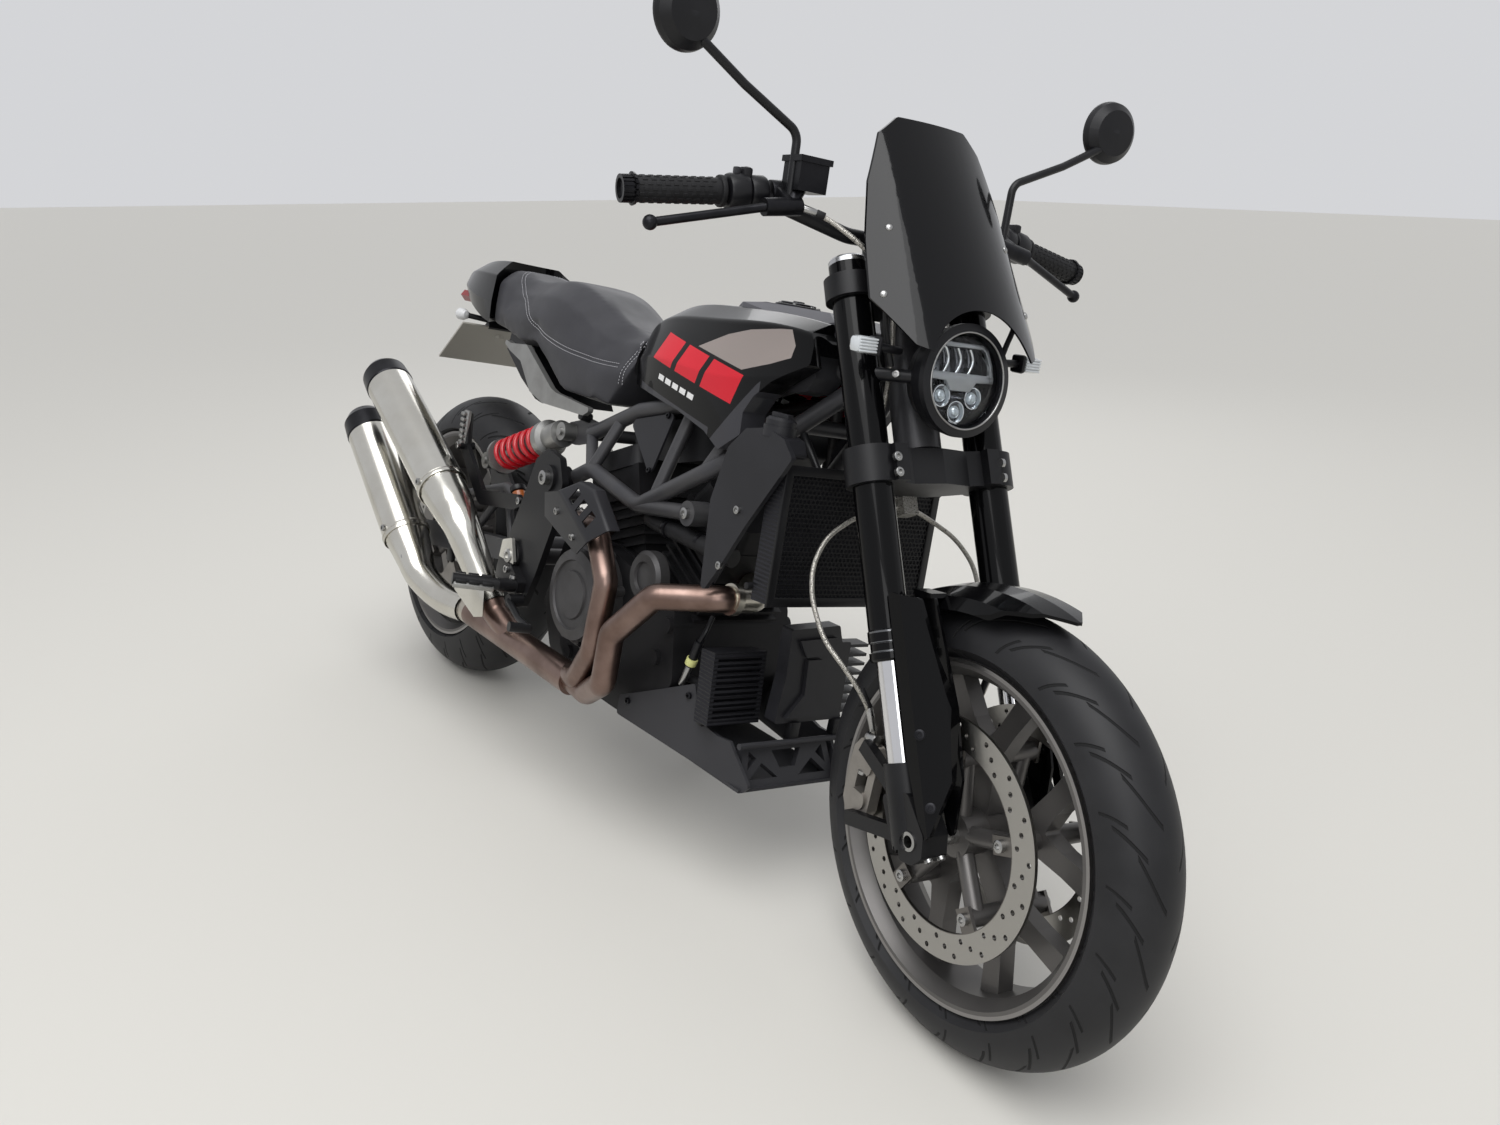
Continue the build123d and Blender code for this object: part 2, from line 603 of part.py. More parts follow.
@cache
def engine_covers():
    """The clutch's round cover in steps and the cam drive's beside it; the alternator's and sprocket's opposite."""
    cover = turned([(0, 0), (92, 0), (92, 26), (86, 32), (82, 34), (80, 46), (62, 50), (60, 46), (44, 46),
                    (42, 50), (0, 50)])
    for turn in range(8):
        cover += Rot(0, 0, 45 * turn + 20) * Pos(88, 0, 15) * Cylinder(10, 30)
    side = turned([(0, 0), (44, 0), (44, 18), (38, 24), (26, 24), (24, 19), (0, 19)])
    side = Pos(862, -122, 455) * Rot(90, 0, 0) * side - frame_trellis()[0]
    left = turned([(0, 0), (88, 0), (88, 22), (78, 36), (40, 40), (38, 36), (0, 36)])
    for turn in range(6):
        left += Rot(0, 0, 60 * turn) * Pos(86, 0, 12) * Cylinder(10, 24)
    left = Pos(790, 122, 340) * Rot(-90, 0, 0) * left
    outline = [(508, 300), (520, 290), (640, 300), (720, 350), (720, 400), (660, 424), (560, 438), (508, 420)]
    left += slab(outline, 122, 146, 10)
    left -= frame_trellis()[0] + pivot_plates()[1] + swingarm()[0]
    return [Pos(692, -122, 374) * Rot(90, 0, 0) * cover, side, left.solids().sort_by(SortBy.VOLUME)[-1]]


@cache
def tank():
    """The tank's cover: a skin over sections, cut to its low edge, open beneath for the frame."""
    body = skin([
        (632, (30, 842), (58, 828), (70, 790), (66, 700)),
        (720, (45, 897), (88, 872), (112, 806), (104, 690)),
        (850, (60, 912), (112, 884), (136, 806), (126, 670)),
        (1000, (76, 914), (126, 892), (150, 806), (142, 650)),
        (1100, (80, 910), (120, 892), (148, 820), (142, 650)),
        (1166, (66, 902), (108, 880), (136, 826), (130, 650)),
    ], 12)
    body &= slab([(600, 960), (1120, 960), (1122, 893), (1138, 880), (1152, 846), (1094, 811), (1064, 786),
                  (1046, 760), (1047, 727), (996, 695), (950, 716), (857, 734), (720, 748), (650, 752), (600, 800)],
                 -200, 200, 7)
    body -= slab([(770, 600), (1210, 600), (1210, 884), (1140, 866), (1000, 822), (850, 782), (770, 752)], -104, 104)
    body -= frame_trellis()[0]
    for angle in (-LOCK, LOCK):
        turn = STEER_FRAME * Rot(0, 0, angle) * STEER_FRAME.inverse()
        for y in (-LEG_Y, LEG_Y):
            body -= turn * rod(on_fork(400, y=y), on_fork(LEG_TOP, y=y), OUTER_R + 7)
    return [body.solids().sort_by(SortBy.VOLUME)[-1]]


@cache
def tank_trim():
    """The raised dark panel along the tank's top and the covers that close its sides towards the steering head."""
    side = slab([(842, 880), (842, 906), (876, 921), (930, 927), (1085, 925), (1128, 908), (1128, 880)], -90, 90, 5)
    # x, half width
    half = [(842, 40), (880, 56), (1000, 74), (1090, 80), (1128, 66)]
    plan = half + [(x, -y) for x, y in reversed(half)]
    panel = side & Pos(0, 0, 860) * extrude(make_face(Polyline(*plan, close=True).edges()), amount=100)
    roof = mirrored([(50, 940), (50, 926), (80, 904), (80, 870)])
    panel = (panel & front_view(1200, roof, 500)) - tank()[0]
    outline = [(1060, 868), (1094, 892), (1122, 872), (1132, 830), (1118, 808), (1080, 800), (1050, 826)]
    cover = slab(outline, -96, -44, 6) - tank()[0] - frame_trellis()[0]
    panel = panel.solids().sort_by(SortBy.VOLUME)[-1] + cover.solids().sort_by(SortBy.VOLUME)[-1]
    return [panel + mirror(cover.solids().sort_by(SortBy.VOLUME)[-1], about=Plane.XZ)]


@cache
def seat():
    body = skin([
        (40, (52, 893), (84, 868), (90, 830), (84, 740)),
        (150, (60, 903), (100, 874), (108, 820), (104, 720)),
        (300, (64, 905), (108, 872), (116, 810), (110, 690)),
        (420, (62, 898), (108, 862), (116, 790), (110, 670)),
        (520, (58, 858), (98, 830), (112, 760), (108, 660)),
        (600, (48, 839), (88, 820), (106, 760), (100, 660)),
        (690, (38, 842), (66, 826), (84, 780), (80, 700)),
    ], 14)
    body &= slab([(20, 960), (720, 960), (690, 842), (642, 760), (598, 699), (447, 701), (425, 708), (306, 775),
                  (239, 770), (160, 786), (20, 800)], -150, 150, 6)
    body &= seat_plan(600)
    return [body - tank()[0] - frame_trellis()[0]]


def seat_plan(z):
    """The column over the seat, round at its rear."""
    rear = ThreePointArc((230, -140), (52, 0), (230, 140))
    front = Polyline((230, 140), (730, 140), (730, -140), (230, -140))
    return Pos(0, 0, z) * extrude(make_face([rear.edge(), *front.edges()]), amount=500)


@cache
def tail_cowl():
    """The cowl that closes the seat's rear and wraps round its sides."""
    body = skin([
        (-184, (20, 880), (34, 872), (38, 862), (30, 848)),
        (-120, (34, 908), (58, 892), (68, 862), (54, 826)),
        (20, (54, 928), (94, 896), (104, 845), (96, 780)),
        (130, (58, 928), (106, 894), (116, 840), (110, 760)),
        (240, (60, 922), (110, 888), (120, 836), (114, 750)),
    ], 8)
    body &= slab([(-200, 960), (250, 960), (250, 900), (228, 880), (196, 820), (178, 786), (60, 802), (-100, 838),
                  (-200, 860)], -150, 150, 5)
    return [body - seat_plan(600) - rear_subframe()[0]]


@cache
def under_covers():
    """The tray under the seat, above the rear tyre, and the airbox between the frame's tubes."""
    tray = slab([(-110, 838), (60, 802), (160, 784), (240, 768), (300, 668), (353, 662), (540, 672), (580, 690),
                 (560, 697), (447, 699), (425, 706), (306, 773), (239, 768), (165, 785), (60, 830), (-80, 858)],
                -84, 84)
    tray += slab([(150, 750), (230, 700), (300, 668), (330, 664), (240, 768), (160, 784)], -84, 84)
    tray -= frame_trellis()[0] + seat()[0] + tail_cowl()[0]
    box = slab([(650, 655), (700, 628), (800, 640), (880, 660), (960, 640), (1010, 700), (1000, 752), (840, 726),
                (690, 688)], -70, 70, 12)
    box -= frame_trellis()[0] + cylinders()[0] + cylinders()[1]
    return [part.solids().sort_by(SortBy.VOLUME)[-1] for part in (tray, box)]


@cache
def rear_subframe():
    """The cast brackets under the seat's sides, tied across under it."""
    outline = [(170, 782), (239, 767), (306, 772), (425, 705), (447, 699), (585, 690), (556, 674), (400, 672),
               (344, 686), (290, 738), (240, 752)]
    side = slab(outline, -123, -112, 5)
    link = cross_rod(440, 684, -112, -84, 10) + cross_rod(262, 758, -112, -84, 9)
    bracket = side + link
    return [bracket, mirror(bracket, about=Plane.XZ)]


@cache
def tail_fittings():
    """The lamp under the cowl's tip, and below it an arm with the blank plate, its light and the indicators."""
    lens = front_view(-120, mirrored([(44, 850), (52, 838), (40, 826)]), 60) - tail_cowl()[0] - under_covers()[0]
    arm = rod((-66, 0, 830), (-66, 0, 758), 12)
    lean = Plane(origin=(-90, 0, 738), x_dir=(0, 1, 0), z_dir=(-0.65, 0, 0.76))
    arm += lean * Box(204, 134, 4) + lean * Pos(0, -48, 11) * Box(70, 26, 20)
    for side in (-1, 1):
        lamp = Plane(origin=(-96, side * 78, 797), z_dir=(-1, side * 0.3, 0)) * turned(
            [(0, -14), (9, -12), (13, -2), (13, 10), (9, 16), (0, 17)])
        arm += rod((-66, side * 4, 792), (-96, side * 78, 797), 6) + lamp
    arm -= under_covers()[0] + tail_cowl()[0] + lens
    return [lens.solids().sort_by(SortBy.VOLUME)[-1], arm.solids().sort_by(SortBy.VOLUME)[-1]]


@cache
def radiator():
    core = Box(34, 296, 186)
    for y in (-150, 150):
        core += Pos(0, y, 0) * Box(34.8, 16, 200)
    return [Pos(1166, 0, 606) * Rot(0, -3, 0) * core]


@cache
def radiator_guard():
    """A perforated plate in a frame, in front of the core."""
    flat = Plane(origin=(1186, 0, 606), x_dir=(0, 1, 0), z_dir=(cos(radians(3)), 0, sin(radians(3))))
    face = RectangleRounded(322, 204, 8)
    pitch = 21
    holes = []
    for row in range(-4, 5):
        for column in range(-6, 7):
            across = pitch * (column + 0.5 * (row % 2))
            if abs(across) < 136:
                holes.append(Pos(across, row * pitch * 0.87) * RegularPolygon(9.5, 6, rotation=30))
    return [extrude(flat * (face - holes), 2.5, both=True)]


@cache
def radiator_shrouds():
    """A panel beside the radiator that turns in over its top, with the filler neck on the right."""
    outline = [(1057, 709), (1037, 625), (1050, 500), (1056, 486), (1082, 525), (1127, 605), (1201, 719), (1176, 742),
               (1135, 751), (1090, 742)]
    panel = slab(outline, -172, -164, 6)
    panel += slab([(1066, 716), (1184, 716), (1170, 741), (1135, 749), (1092, 741)], -172, -128, 6)
    panel -= radiator()[0] + radiator_guard()[0] + frame_trellis()[0]
    panel = panel.solids().sort_by(SortBy.VOLUME)[-1]
    cap = turned([(0, -16), (24, -16), (24, 0), (22, 0), (22, 8), (18, 12), (0, 12)]) + Pos(0, 0, 14) * Box(36, 9, 8)
    return [panel + Pos(1138, -150, 756) * cap, mirror(panel, about=Plane.XZ)]


def louvred(width, height, depth, slots):
    """A box with a row of slots cut across its front."""
    box = Box(depth, width, height)
    for i in range(slots):
        up = (i + 0.5 - slots / 2) * (height - 16) / slots
        box -= Pos(depth / 2, 0, up) * Box(14, width - 16, (height - 16) / slots * 0.5)
    return box


@cache
def oil_cooler():
    return [Pos(1058, -82, 334) * Rot(0, -6, 0) * louvred(104, 116, 34, 11)]


@cache
def regulator_cover():
    """A ribbed cover with the cooling fins of what it hides along its left edge."""
    # side, height
    outline = [(-36, 446), (64, 452), (76, 424), (96, 424), (104, 300), (112, 292), (-36, 292), (-30, 372)]
    cover = front_view(1124, outline, 26, 4)
    cover += front_view(1130, [(-20, 430), (56, 434), (40, 404), (0, 402)], 8)
    cover += front_view(1131, [(4, 398), (34, 398), (30, 340), (70, 302), (-20, 302), (10, 340)], 9)
    for i in range(8):
        cover += Pos(1106, 118, 304 + 16 * i) * Box(30, 44, 5)
    return [cover]


@cache
def belly_pan():
    """A side panel either side of the sump, a floor and an open webbed front."""
    outline = [(0, -8), (0, 26), (20, 34), (172, 106), (196, 52), (242, 44), (268, 46), (324, -8), (312, -22)]
    panel = Pos(843, -138, 217) * Rot(0, 0, 6.75) * slab(outline, 0, 6, 5)
    # side, height
    web = [(-98, 196), (98, 196), (96, 210), (86, 264), (-86, 264), (-96, 210)]
    front = front_view(6, web, 12)
    for hole in ([(-80, 208), (-22, 208), (-52, 232)], [(80, 208), (22, 208), (52, 232)],
                 [(-82, 222), (-62, 240), (-76, 252)], [(82, 222), (62, 240), (76, 252)],
                 [(-30, 250), (30, 250), (16, 222), (-16, 222)]):
        front -= front_view(20, hole, 60)
    front = Pos(1140, 0, 196) * Rot(0, -24, 0) * Pos(0, 0, -196) * front
    floor = Pos(1000, 0, 197) * Box(300, 212, 5)
    pan = panel + mirror(panel, about=Plane.XZ) + floor + front
    bars = [cross_rod(870, 222, -134, 134, 6), cross_rod(1130, 262, -104, 104, 5)]
    return [pan + bars - crankcase()[0]]


SILENCERS = [  # base, tip
    ((49, -205, 317), (-225, -225, 528)),
    ((230, -222, 462), (-128, -232, 643)),
]
CAN_R = 49


def along_can(base, tip):
    base, tip = Vector(*base), Vector(*tip)
    return Plane(origin=base, z_dir=tip - base, x_dir=(0, 1, 0)), (tip - base).length


@cache
def exhaust_headers():
    front = tube([(940, -20, 500), (1040, -44, 470), (1052, -124, 474), (974, -196, 455), (886, -204, 366),
                  (880, -200, 280), (800, -176, 232), (700, -164, 232)], 21, 26)
    rear = tube([(700, -120, 505), (708, -192, 510), (790, -200, 512), (843, -202, 440), (836, -202, 320),
                 (775, -184, 250), (700, -164, 232)], 20, 24)
    pipes = front + rear + rod((740, -170, 232), (300, -165, 228), 27)
    starts = []
    for base, tip in SILENCERS:
        plane, _ = along_can(base, tip)
        starts.append(plane.origin - plane.z_dir * 110)
    low, high = starts
    pipes += tube([(320, -165, 228), (220, -182, 226), low, low + along_can(*SILENCERS[0])[0].z_dir * 20], 25, 40)
    pipes += tube([(520, -165, 230), (440, -176, 262), high, high + along_can(*SILENCERS[1])[0].z_dir * 20], 25, 40)
    clamp = rod((1052, -100, 473), (1052, -112, 474), 25)
    return [pipes + clamp]


@cache
def silencers():
    """Two stacked cans, each a cone into a long barrel with rolled ends."""
    cans = []
    for base, tip in SILENCERS:
        plane, reach = along_can(base, tip)
        can = plane * turned([(0, -110), (26, -110), (27, -96), (44, -14), (CAN_R, 0), (CAN_R, reach - 60),
                              (0, reach - 60)])
        cans.append(can - exhaust_headers()[0])
    return cans


@cache
def silencer_caps():
    caps = []
    for base, tip in SILENCERS:
        plane, reach = along_can(base, tip)
        caps.append(plane * turned([(0, reach - 60), (CAN_R, reach - 60), (CAN_R + 1.5, reach - 56), (48, reach - 18),
                                    (36, reach), (24, reach), (22, reach - 30), (0, reach - 30)]))
    return caps


@cache
def heat_shield():
    """A flat shield outside the rear pipe, with three small windows."""
    shield = slab([(624, 528), (727, 580), (782, 556), (845, 529), (842, 516), (740, 462), (668, 486)], -232, -227, 8)
    for x, z in ((690, 530), (735, 530), (780, 522)):
        shield -= slab([(x - 14, z - 9), (x + 10, z - 9), (x + 16, z + 9), (x - 8, z + 9)], -240, -220)
    posts = cross_rod(790, 512, -228, -200, 6)
    return [(shield + posts - exhaust_headers()[0]).solids().sort_by(SortBy.VOLUME)[-1]]


@cache
def swingarm():
    """A beam and a truss on each side, tied across in front of the tyre."""
    beam = slab([(500, 368), (508, 388), (500, 408), (470, 408), (60, 352), (-40, 334), (-46, 315), (-40, 296),
                 (60, 300), (470, 368)], -ARM_Y[1], -ARM_Y[0], 6)
    beam += tube([(66, -134, 344), (124, -134, 427), (337, -134, 492), (400, -134, 470), (478, -134, 398)], 10, 26)
    for x0, z0, x1, z1 in ((124, 427, 200, 350), (337, 492, 200, 350), (337, 492, 390, 380)):
        beam += rod((x0, -134, z0), (x1, -134, z1), 8)
    arm = beam + mirror(beam, about=Plane.XZ)
    arm += [cross_rod(400, 388, -134, 134, 21), cross_rod(350, 486, -134, 134, 10), cross_rod(481, 388, -160, 160, 16)]
    lug = slab([(190, 540), (226, 532), (290, 480), (200, 448), (180, 500)], -98, -90)
    arm += [lug, cross_rod(240, 462, -136, -90, 9)]
    arm -= cross_rod(SHOCK_FOOT.X, SHOCK_FOOT.Z, -140, -99, 26)
    return [(arm - cross_rod(0, REAR_TYRE_R, -200, 200, REAR_AXLE_R)).solids().sort_by(SortBy.VOLUME)[-1]]


@cache
def rear_axle():
    axle = cross_rod(0, REAR_TYRE_R, -REAR_AXLE_END, REAR_AXLE_END, REAR_AXLE_R)
    for end, start in ((-REAR_AXLE_END, -ARM_Y[1]), (ARM_Y[1], REAR_AXLE_END)):
        axle += Pos(0, (end + start) / 2, REAR_TYRE_R) * Rot(90, 0, 0) * extrude(
            RegularPolygon(21, 6), abs(end - start) / 2, both=True)
    return [axle]


@cache
def rear_caliper():
    """The rear caliper under the arm, straddling its disc, on a bracket from the axle."""
    flat = Plane(origin=REAR_AXLE, x_dir=(1, 0, 0), z_dir=(0, -1, 0))
    outline = [(100, -30), (112, -40), (140, -36), (150, 0), (140, 36), (112, 40), (100, 30)]
    face = make_face(FilletPolyline(*outline, radius=6, close=True).edges())
    block = extrude(Pos(0, 0, -REAR_DISC_Y - 22) * face, amount=38)
    block -= Pos(0, 0, -REAR_DISC_Y) * Cylinder(REAR_DISC_R + 5, 14)
    block += Pos(122, 0, -REAR_DISC_Y + 12) * Cylinder(16, 8)
    return [flat * Rot(0, 0, -38) * block - swingarm()[0]]


def shock_plane():
    return Plane(origin=SHOCK_FOOT, z_dir=SHOCK_TOP - SHOCK_FOOT, x_dir=(0, 1, 0)), (SHOCK_TOP - SHOCK_FOOT).length


@cache
def shock():
    """The damper: an eye at each end, its rod, its body and the cups that hold the spring."""
    plane, reach = shock_plane()
    body = plane * turned([(0, 16), (14, 16), (14, 44), (36, 46), (36, 56), (9, 56), (9, 130), (23, 134),
                           (23, reach - 80), (36, reach - 80), (36, reach - 62), (26, reach - 58), (26, reach - 18),
                           (0, reach - 14)])
    for at in (SHOCK_FOOT, SHOCK_TOP):
        body += cross_rod(at.X, at.Z, -125, -99, 17)
        body += cross_rod(at.X, at.Z, -130, -99, 8)
    return [body - frame_trellis()[0] - swingarm()[0]]


@cache
def shock_spring():
    """The spring as a sleeve with one rib for each turn."""
    plane, reach = shock_plane()
    low, high, turns = 56, reach - 80, 6
    step = (high - low) / turns
    rows = [(24, low)]
    for turn in range(turns):
        at = low + turn * step
        rows += [(27, at), (34, at + step * 0.3), (34, at + step * 0.6), (27, at + step * 0.95)]
    rows += [(27, high), (24, high)]
    return [plane * turned(rows)]


@cache
def pivot_plates():
    """The plates that hold the swingarm's pivot, with the frame's bolt at their top."""
    outline = [(490, 528), (444, 410), (450, 352), (476, 311), (534, 300), (566, 372), (600, 470), (614, 556),
               (592, 598), (545, 606), (508, 580)]
    side = slab(outline, -176, -163, 10)
    side += cross_rod(566, 556, -182, -140, 24) + cross_rod(481, 388, -182, -163, 26)
    side -= frame_trellis()[0] + crankcase()[0] + swingarm()[0]
    side = side.solids().sort_by(SortBy.VOLUME)[-1]
    return both(side)


@cache
def chain():
    """The chain's loop round both sprockets: rollers with an inner or an outer pair of plates on each."""
    rear_r = PITCH / (2 * sin(pi / SPROCKET_TEETH)) + 13
    front_r = PITCH / (2 * sin(pi / FRONT_TEETH)) + 6
    ends = [Pos(0, REAR_TYRE_R) * Circle(rear_r), Pos(*FRONT_SPROCKET) * Circle(front_r)]
    loop = make_hull(ends[0].edges() + ends[1].edges()).wire()
    count = 2 * round(loop.length / PITCH / 2)
    pins = [loop.position_at(i / count) for i in range(count)]
    layers = {0: [], 1: []}
    for i, pin in enumerate(pins):
        mate = pins[(i + 1) % count]
        along = mate - pin
        turn = degrees(atan2(along.Y, along.X))
        middle = (pin + mate) / 2
        # along the link, half its height
        half = [(-13, 0), (-10, 6), (-3, 4), (3, 4), (10, 6), (13, 0)]
        ring = half + [(x, -z) for x, z in reversed(half[1:-1])]
        face = make_face(Polyline(*ring, close=True).edges())
        layers[i % 2].append(Pos(middle.X, middle.Y) * Rot(0, 0, turn) * face)
    solids = []
    for side in (-1, 1):
        for odd, low, high in ((0, 4, 6.4), (1, 6.4, 8.8)):
            for face in layers[odd]:
                solids.append(extrude(Pos(0, 0, low if side > 0 else -high) * face, amount=high - low))
    for pin in pins:
        solids.append(Pos(pin.X, pin.Y, 0) * extrude(RegularPolygon(5, 6), 8.8, both=True))
    links = solids[0].fuse(*solids[1:])
    return [Pos(0, CHAIN_Y, 0) * Rot(90, 0, 0) * links]


@cache
def foot_pegs():
    """The rider's pegs on their hangers, each with a heel plate, and the passenger's, folded up behind them."""
    rider = slab([(470, 376), (500, 376), (540, 352), (536, 330), (506, 330), (470, 340)], -192, -176, 5)
    rider += rod((523, -186, 342), (519, -222, 342), 13) + rod((519, -218, 342), (490, -300, 345), 11)
    rider += slab([(440, 336), (452, 412), (486, 424), (506, 380), (500, 370), (468, 370), (468, 338)], -190, -184, 5)
    rider = (rider - pivot_plates()[0]).solids().sort_by(SortBy.VOLUME)[-1]
    rear = slab([(182, 538), (204, 552), (304, 476), (452, 500), (470, 482), (440, 468), (300, 446), (284, 452)],
                -172, -163, 5)
    rear += cross_rod(194, 545, -182, -150, 8)
    rear = (rear - pivot_plates()[0]).solids().sort_by(SortBy.VOLUME)[-1]
    rear += rod((194, -166, 550), (189, -168, 612), 10)
    return [*both(rider), *both(rear)]


@cache
def foot_controls():
    """The brake pedal on the right and the gear lever on the left."""
    pedal = cross_rod(536, 316, -206, -178, 12) + tube([(536, -204, 316), (590, -210, 300), (646, -216, 297)], 6, 40)
    pedal += rod((646, -216, 297), (640, -254, 300), 9)
    pedal -= pivot_plates()[0] + foot_pegs()[0]
    lever = cross_rod(536, 312, 178, 206, 12) + tube([(536, 204, 312), (590, 208, 308), (652, 214, 312)], 5, 60)
    lever += rod((652, 210, 312), (652, 246, 314), 8)
    lever -= pivot_plates()[1] + foot_pegs()[1]
    return [part.solids().sort_by(SortBy.VOLUME)[-1] for part in (pedal, lever)]


def place():
    """The lean, the pitch and the height at which both tyres touch the floor."""
    lean = Rot(-LEAN, 0, 0)
    pitch = 0.0
    height = 0.0
    steered = STEERING
    for _ in range(30):
        turn = Rot(0, pitch, 0) * lean
        lows = []
        for hub, axis, outer, crown in (
            (steered * Pos(*FRONT_AXLE), Vector(0, 1, 0), FRONT_TYRE_R, FRONT_CROWN_R),
            (Pos(*REAR_AXLE), Vector(0, 1, 0), REAR_TYRE_R, REAR_CROWN_R),
        ):
            at = (turn * hub).position
            line = ((turn * hub * Pos(0, 1, 0)).position - at)
            lows.append((at.X, at.Z - (outer - crown) * sqrt(1 - line.Z**2) - crown))
        (front_x, front_z), (rear_x, rear_z) = lows
        pitch += degrees((front_z - rear_z) / (front_x - rear_x))
        height = -rear_z
    return Pos(0, 0, height) * Rot(0, pitch, 0) * lean


STEERING = STEER_FRAME * Rot(0, 0, STEER_AT_REST) * STEER_FRAME.inverse()
PLACED = place()

STAND_PIVOT = Vector(600, 118, 178)
STAND_AXIS = Vector(0.1, 0.85, 0.5).normalized()
STAND_FOOT = Vector(690, 262, 9)


@cache
def side_stand():
    foot = (PLACED.inverse() * Pos(*STAND_FOOT)).position
    leg = rod(STAND_PIVOT, foot, 11)
    pad = PLACED.inverse() * Pos(STAND_FOOT.X, STAND_FOOT.Y, 5) * Box(74, 46, 10)
    eye = rod(STAND_PIVOT - STAND_AXIS * 12, STAND_PIVOT + STAND_AXIS * 12, 20)
    return [leg + pad + eye]


BODIES = {
    "chassis": [frame_trellis, frame_infills, pivot_plates, crankcase, cylinders, engine_covers, tank, tank_trim,
                seat, tail_cowl, under_covers, rear_subframe, tail_fittings, radiator, radiator_guard,
                radiator_shrouds, oil_cooler, regulator_cover, belly_pan, exhaust_headers, silencers,
                silencer_caps, heat_shield, swingarm, rear_axle, rear_caliper, shock, shock_spring, chain,
                foot_pegs, foot_controls],
    "steering": [fork_outers, stanchions, fork_bottoms, front_axle, front_calipers, front_brake_hoses,
                 lower_clamp, upper_clamp, handlebar, grips, switchgear, levers, mirrors, headlamp_shell,
                 headlamp_unit, headlamp_lens, fly_screen, front_mudguard, front_indicators, instrument],
    "front_wheel": [front_tyre, front_rim, front_discs],
    "rear_wheel": [rear_tyre, rear_rim, rear_disc, sprocket],
    "side_stand": [side_stand],
}
STEERED = ("steering", "front_wheel")


def build():
    """Every node's solids, standing on the floor under the middle of the machine."""
    nodes = {}
    for body, makers in BODIES.items():
        for maker in makers:
            where = PLACED * STEERING if body in STEERED else PLACED
            solids = [solid for part in maker() for solid in part.solids()]
            nodes[maker.__name__] = Compound([where * solid for solid in solids])
    whole = Compound(list(nodes.values())).bounding_box()
    shift = Pos(-whole.center().X, -whole.center().Y, -whole.min.Z)
    return {name: shift * part for name, part in nodes.items()}, shift


if __name__ == "__main__":
    os.makedirs("parts", exist_ok=True)
    parts, shift = build()
    print("shift", shift.position)
    for name, part in parts.items():
        export_step(part, f"parts/{name}.step")
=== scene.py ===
# %% [markdown]
# A standard road motorcycle, leaning on its side stand with its bars turned a little to the right. The
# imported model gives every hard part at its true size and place. This notebook dresses those parts: it
# sets the camera and the studio, mixes the finishes, and adds what is sewn, moulded, braided or bolted
# on.

# %% Load the machine and note its box
from contextlib import contextmanager
from math import atan2, cos, pi, radians, sin

import bmesh
import bpy
from mathutils import Matrix, Vector, kdtree


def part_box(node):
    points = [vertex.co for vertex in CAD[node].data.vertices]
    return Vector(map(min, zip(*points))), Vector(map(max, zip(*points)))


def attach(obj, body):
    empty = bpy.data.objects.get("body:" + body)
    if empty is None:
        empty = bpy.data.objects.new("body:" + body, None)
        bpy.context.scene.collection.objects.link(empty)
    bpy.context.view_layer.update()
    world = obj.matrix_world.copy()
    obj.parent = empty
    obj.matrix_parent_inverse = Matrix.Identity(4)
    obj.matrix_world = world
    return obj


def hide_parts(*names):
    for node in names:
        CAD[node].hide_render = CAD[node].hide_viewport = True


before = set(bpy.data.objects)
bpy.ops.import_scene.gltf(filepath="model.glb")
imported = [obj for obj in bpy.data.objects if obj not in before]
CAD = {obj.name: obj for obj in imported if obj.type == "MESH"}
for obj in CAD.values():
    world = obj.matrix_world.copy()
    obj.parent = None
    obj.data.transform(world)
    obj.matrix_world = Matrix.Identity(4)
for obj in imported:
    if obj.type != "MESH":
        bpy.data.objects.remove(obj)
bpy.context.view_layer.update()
scene = bpy.context.scene

# %% [markdown]
# The machine is drawn upright on paper and stands leaning on the floor. All places below are in
# millimetres on that upright drawing: x forward from the rear axle, y to the machine's left, z up from
# the floor line. Two matrices lay such places on the real thing: BIKE for the chassis, and FORK for what
# turns with the bars.

# %% From the drawing to the floor
MM = 0.001
LEAN = 12.75
PITCH = -0.033
STEER_AT_REST = -7.25
RAKE = radians(25.3)
FORK_OFFSET = 38
UP = Vector((-sin(RAKE), 0, cos(RAKE)))
AHEAD = Vector((cos(RAKE), 0, sin(RAKE)))
LEFT = Vector((0, 1, 0))
FRONT_AXLE = Vector((1525, 0, 300))
REAR_AXLE = Vector((0, 0, 315))
STEER_FOOT = FRONT_AXLE - AHEAD * FORK_OFFSET


def middle(node):
    low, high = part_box(node)
    return (low + high) / 2


def axes_at(place, x, y, z):
    """Lays a shape's own axes along three directions, at a place."""
    return Matrix.Translation(place) @ Matrix((x, y, z)).transposed().to_4x4()


def pointing(place, direction):
    """Stands a shape's z axis along a direction, at a place."""
    return Matrix.Translation(place) @ direction.to_track_quat("Z", "Y").to_matrix().to_4x4()


def put(name, data):
    """A new object in the scene."""
    thing = bpy.data.objects.new(name, data)
    scene.collection.objects.link(thing)
    return thing


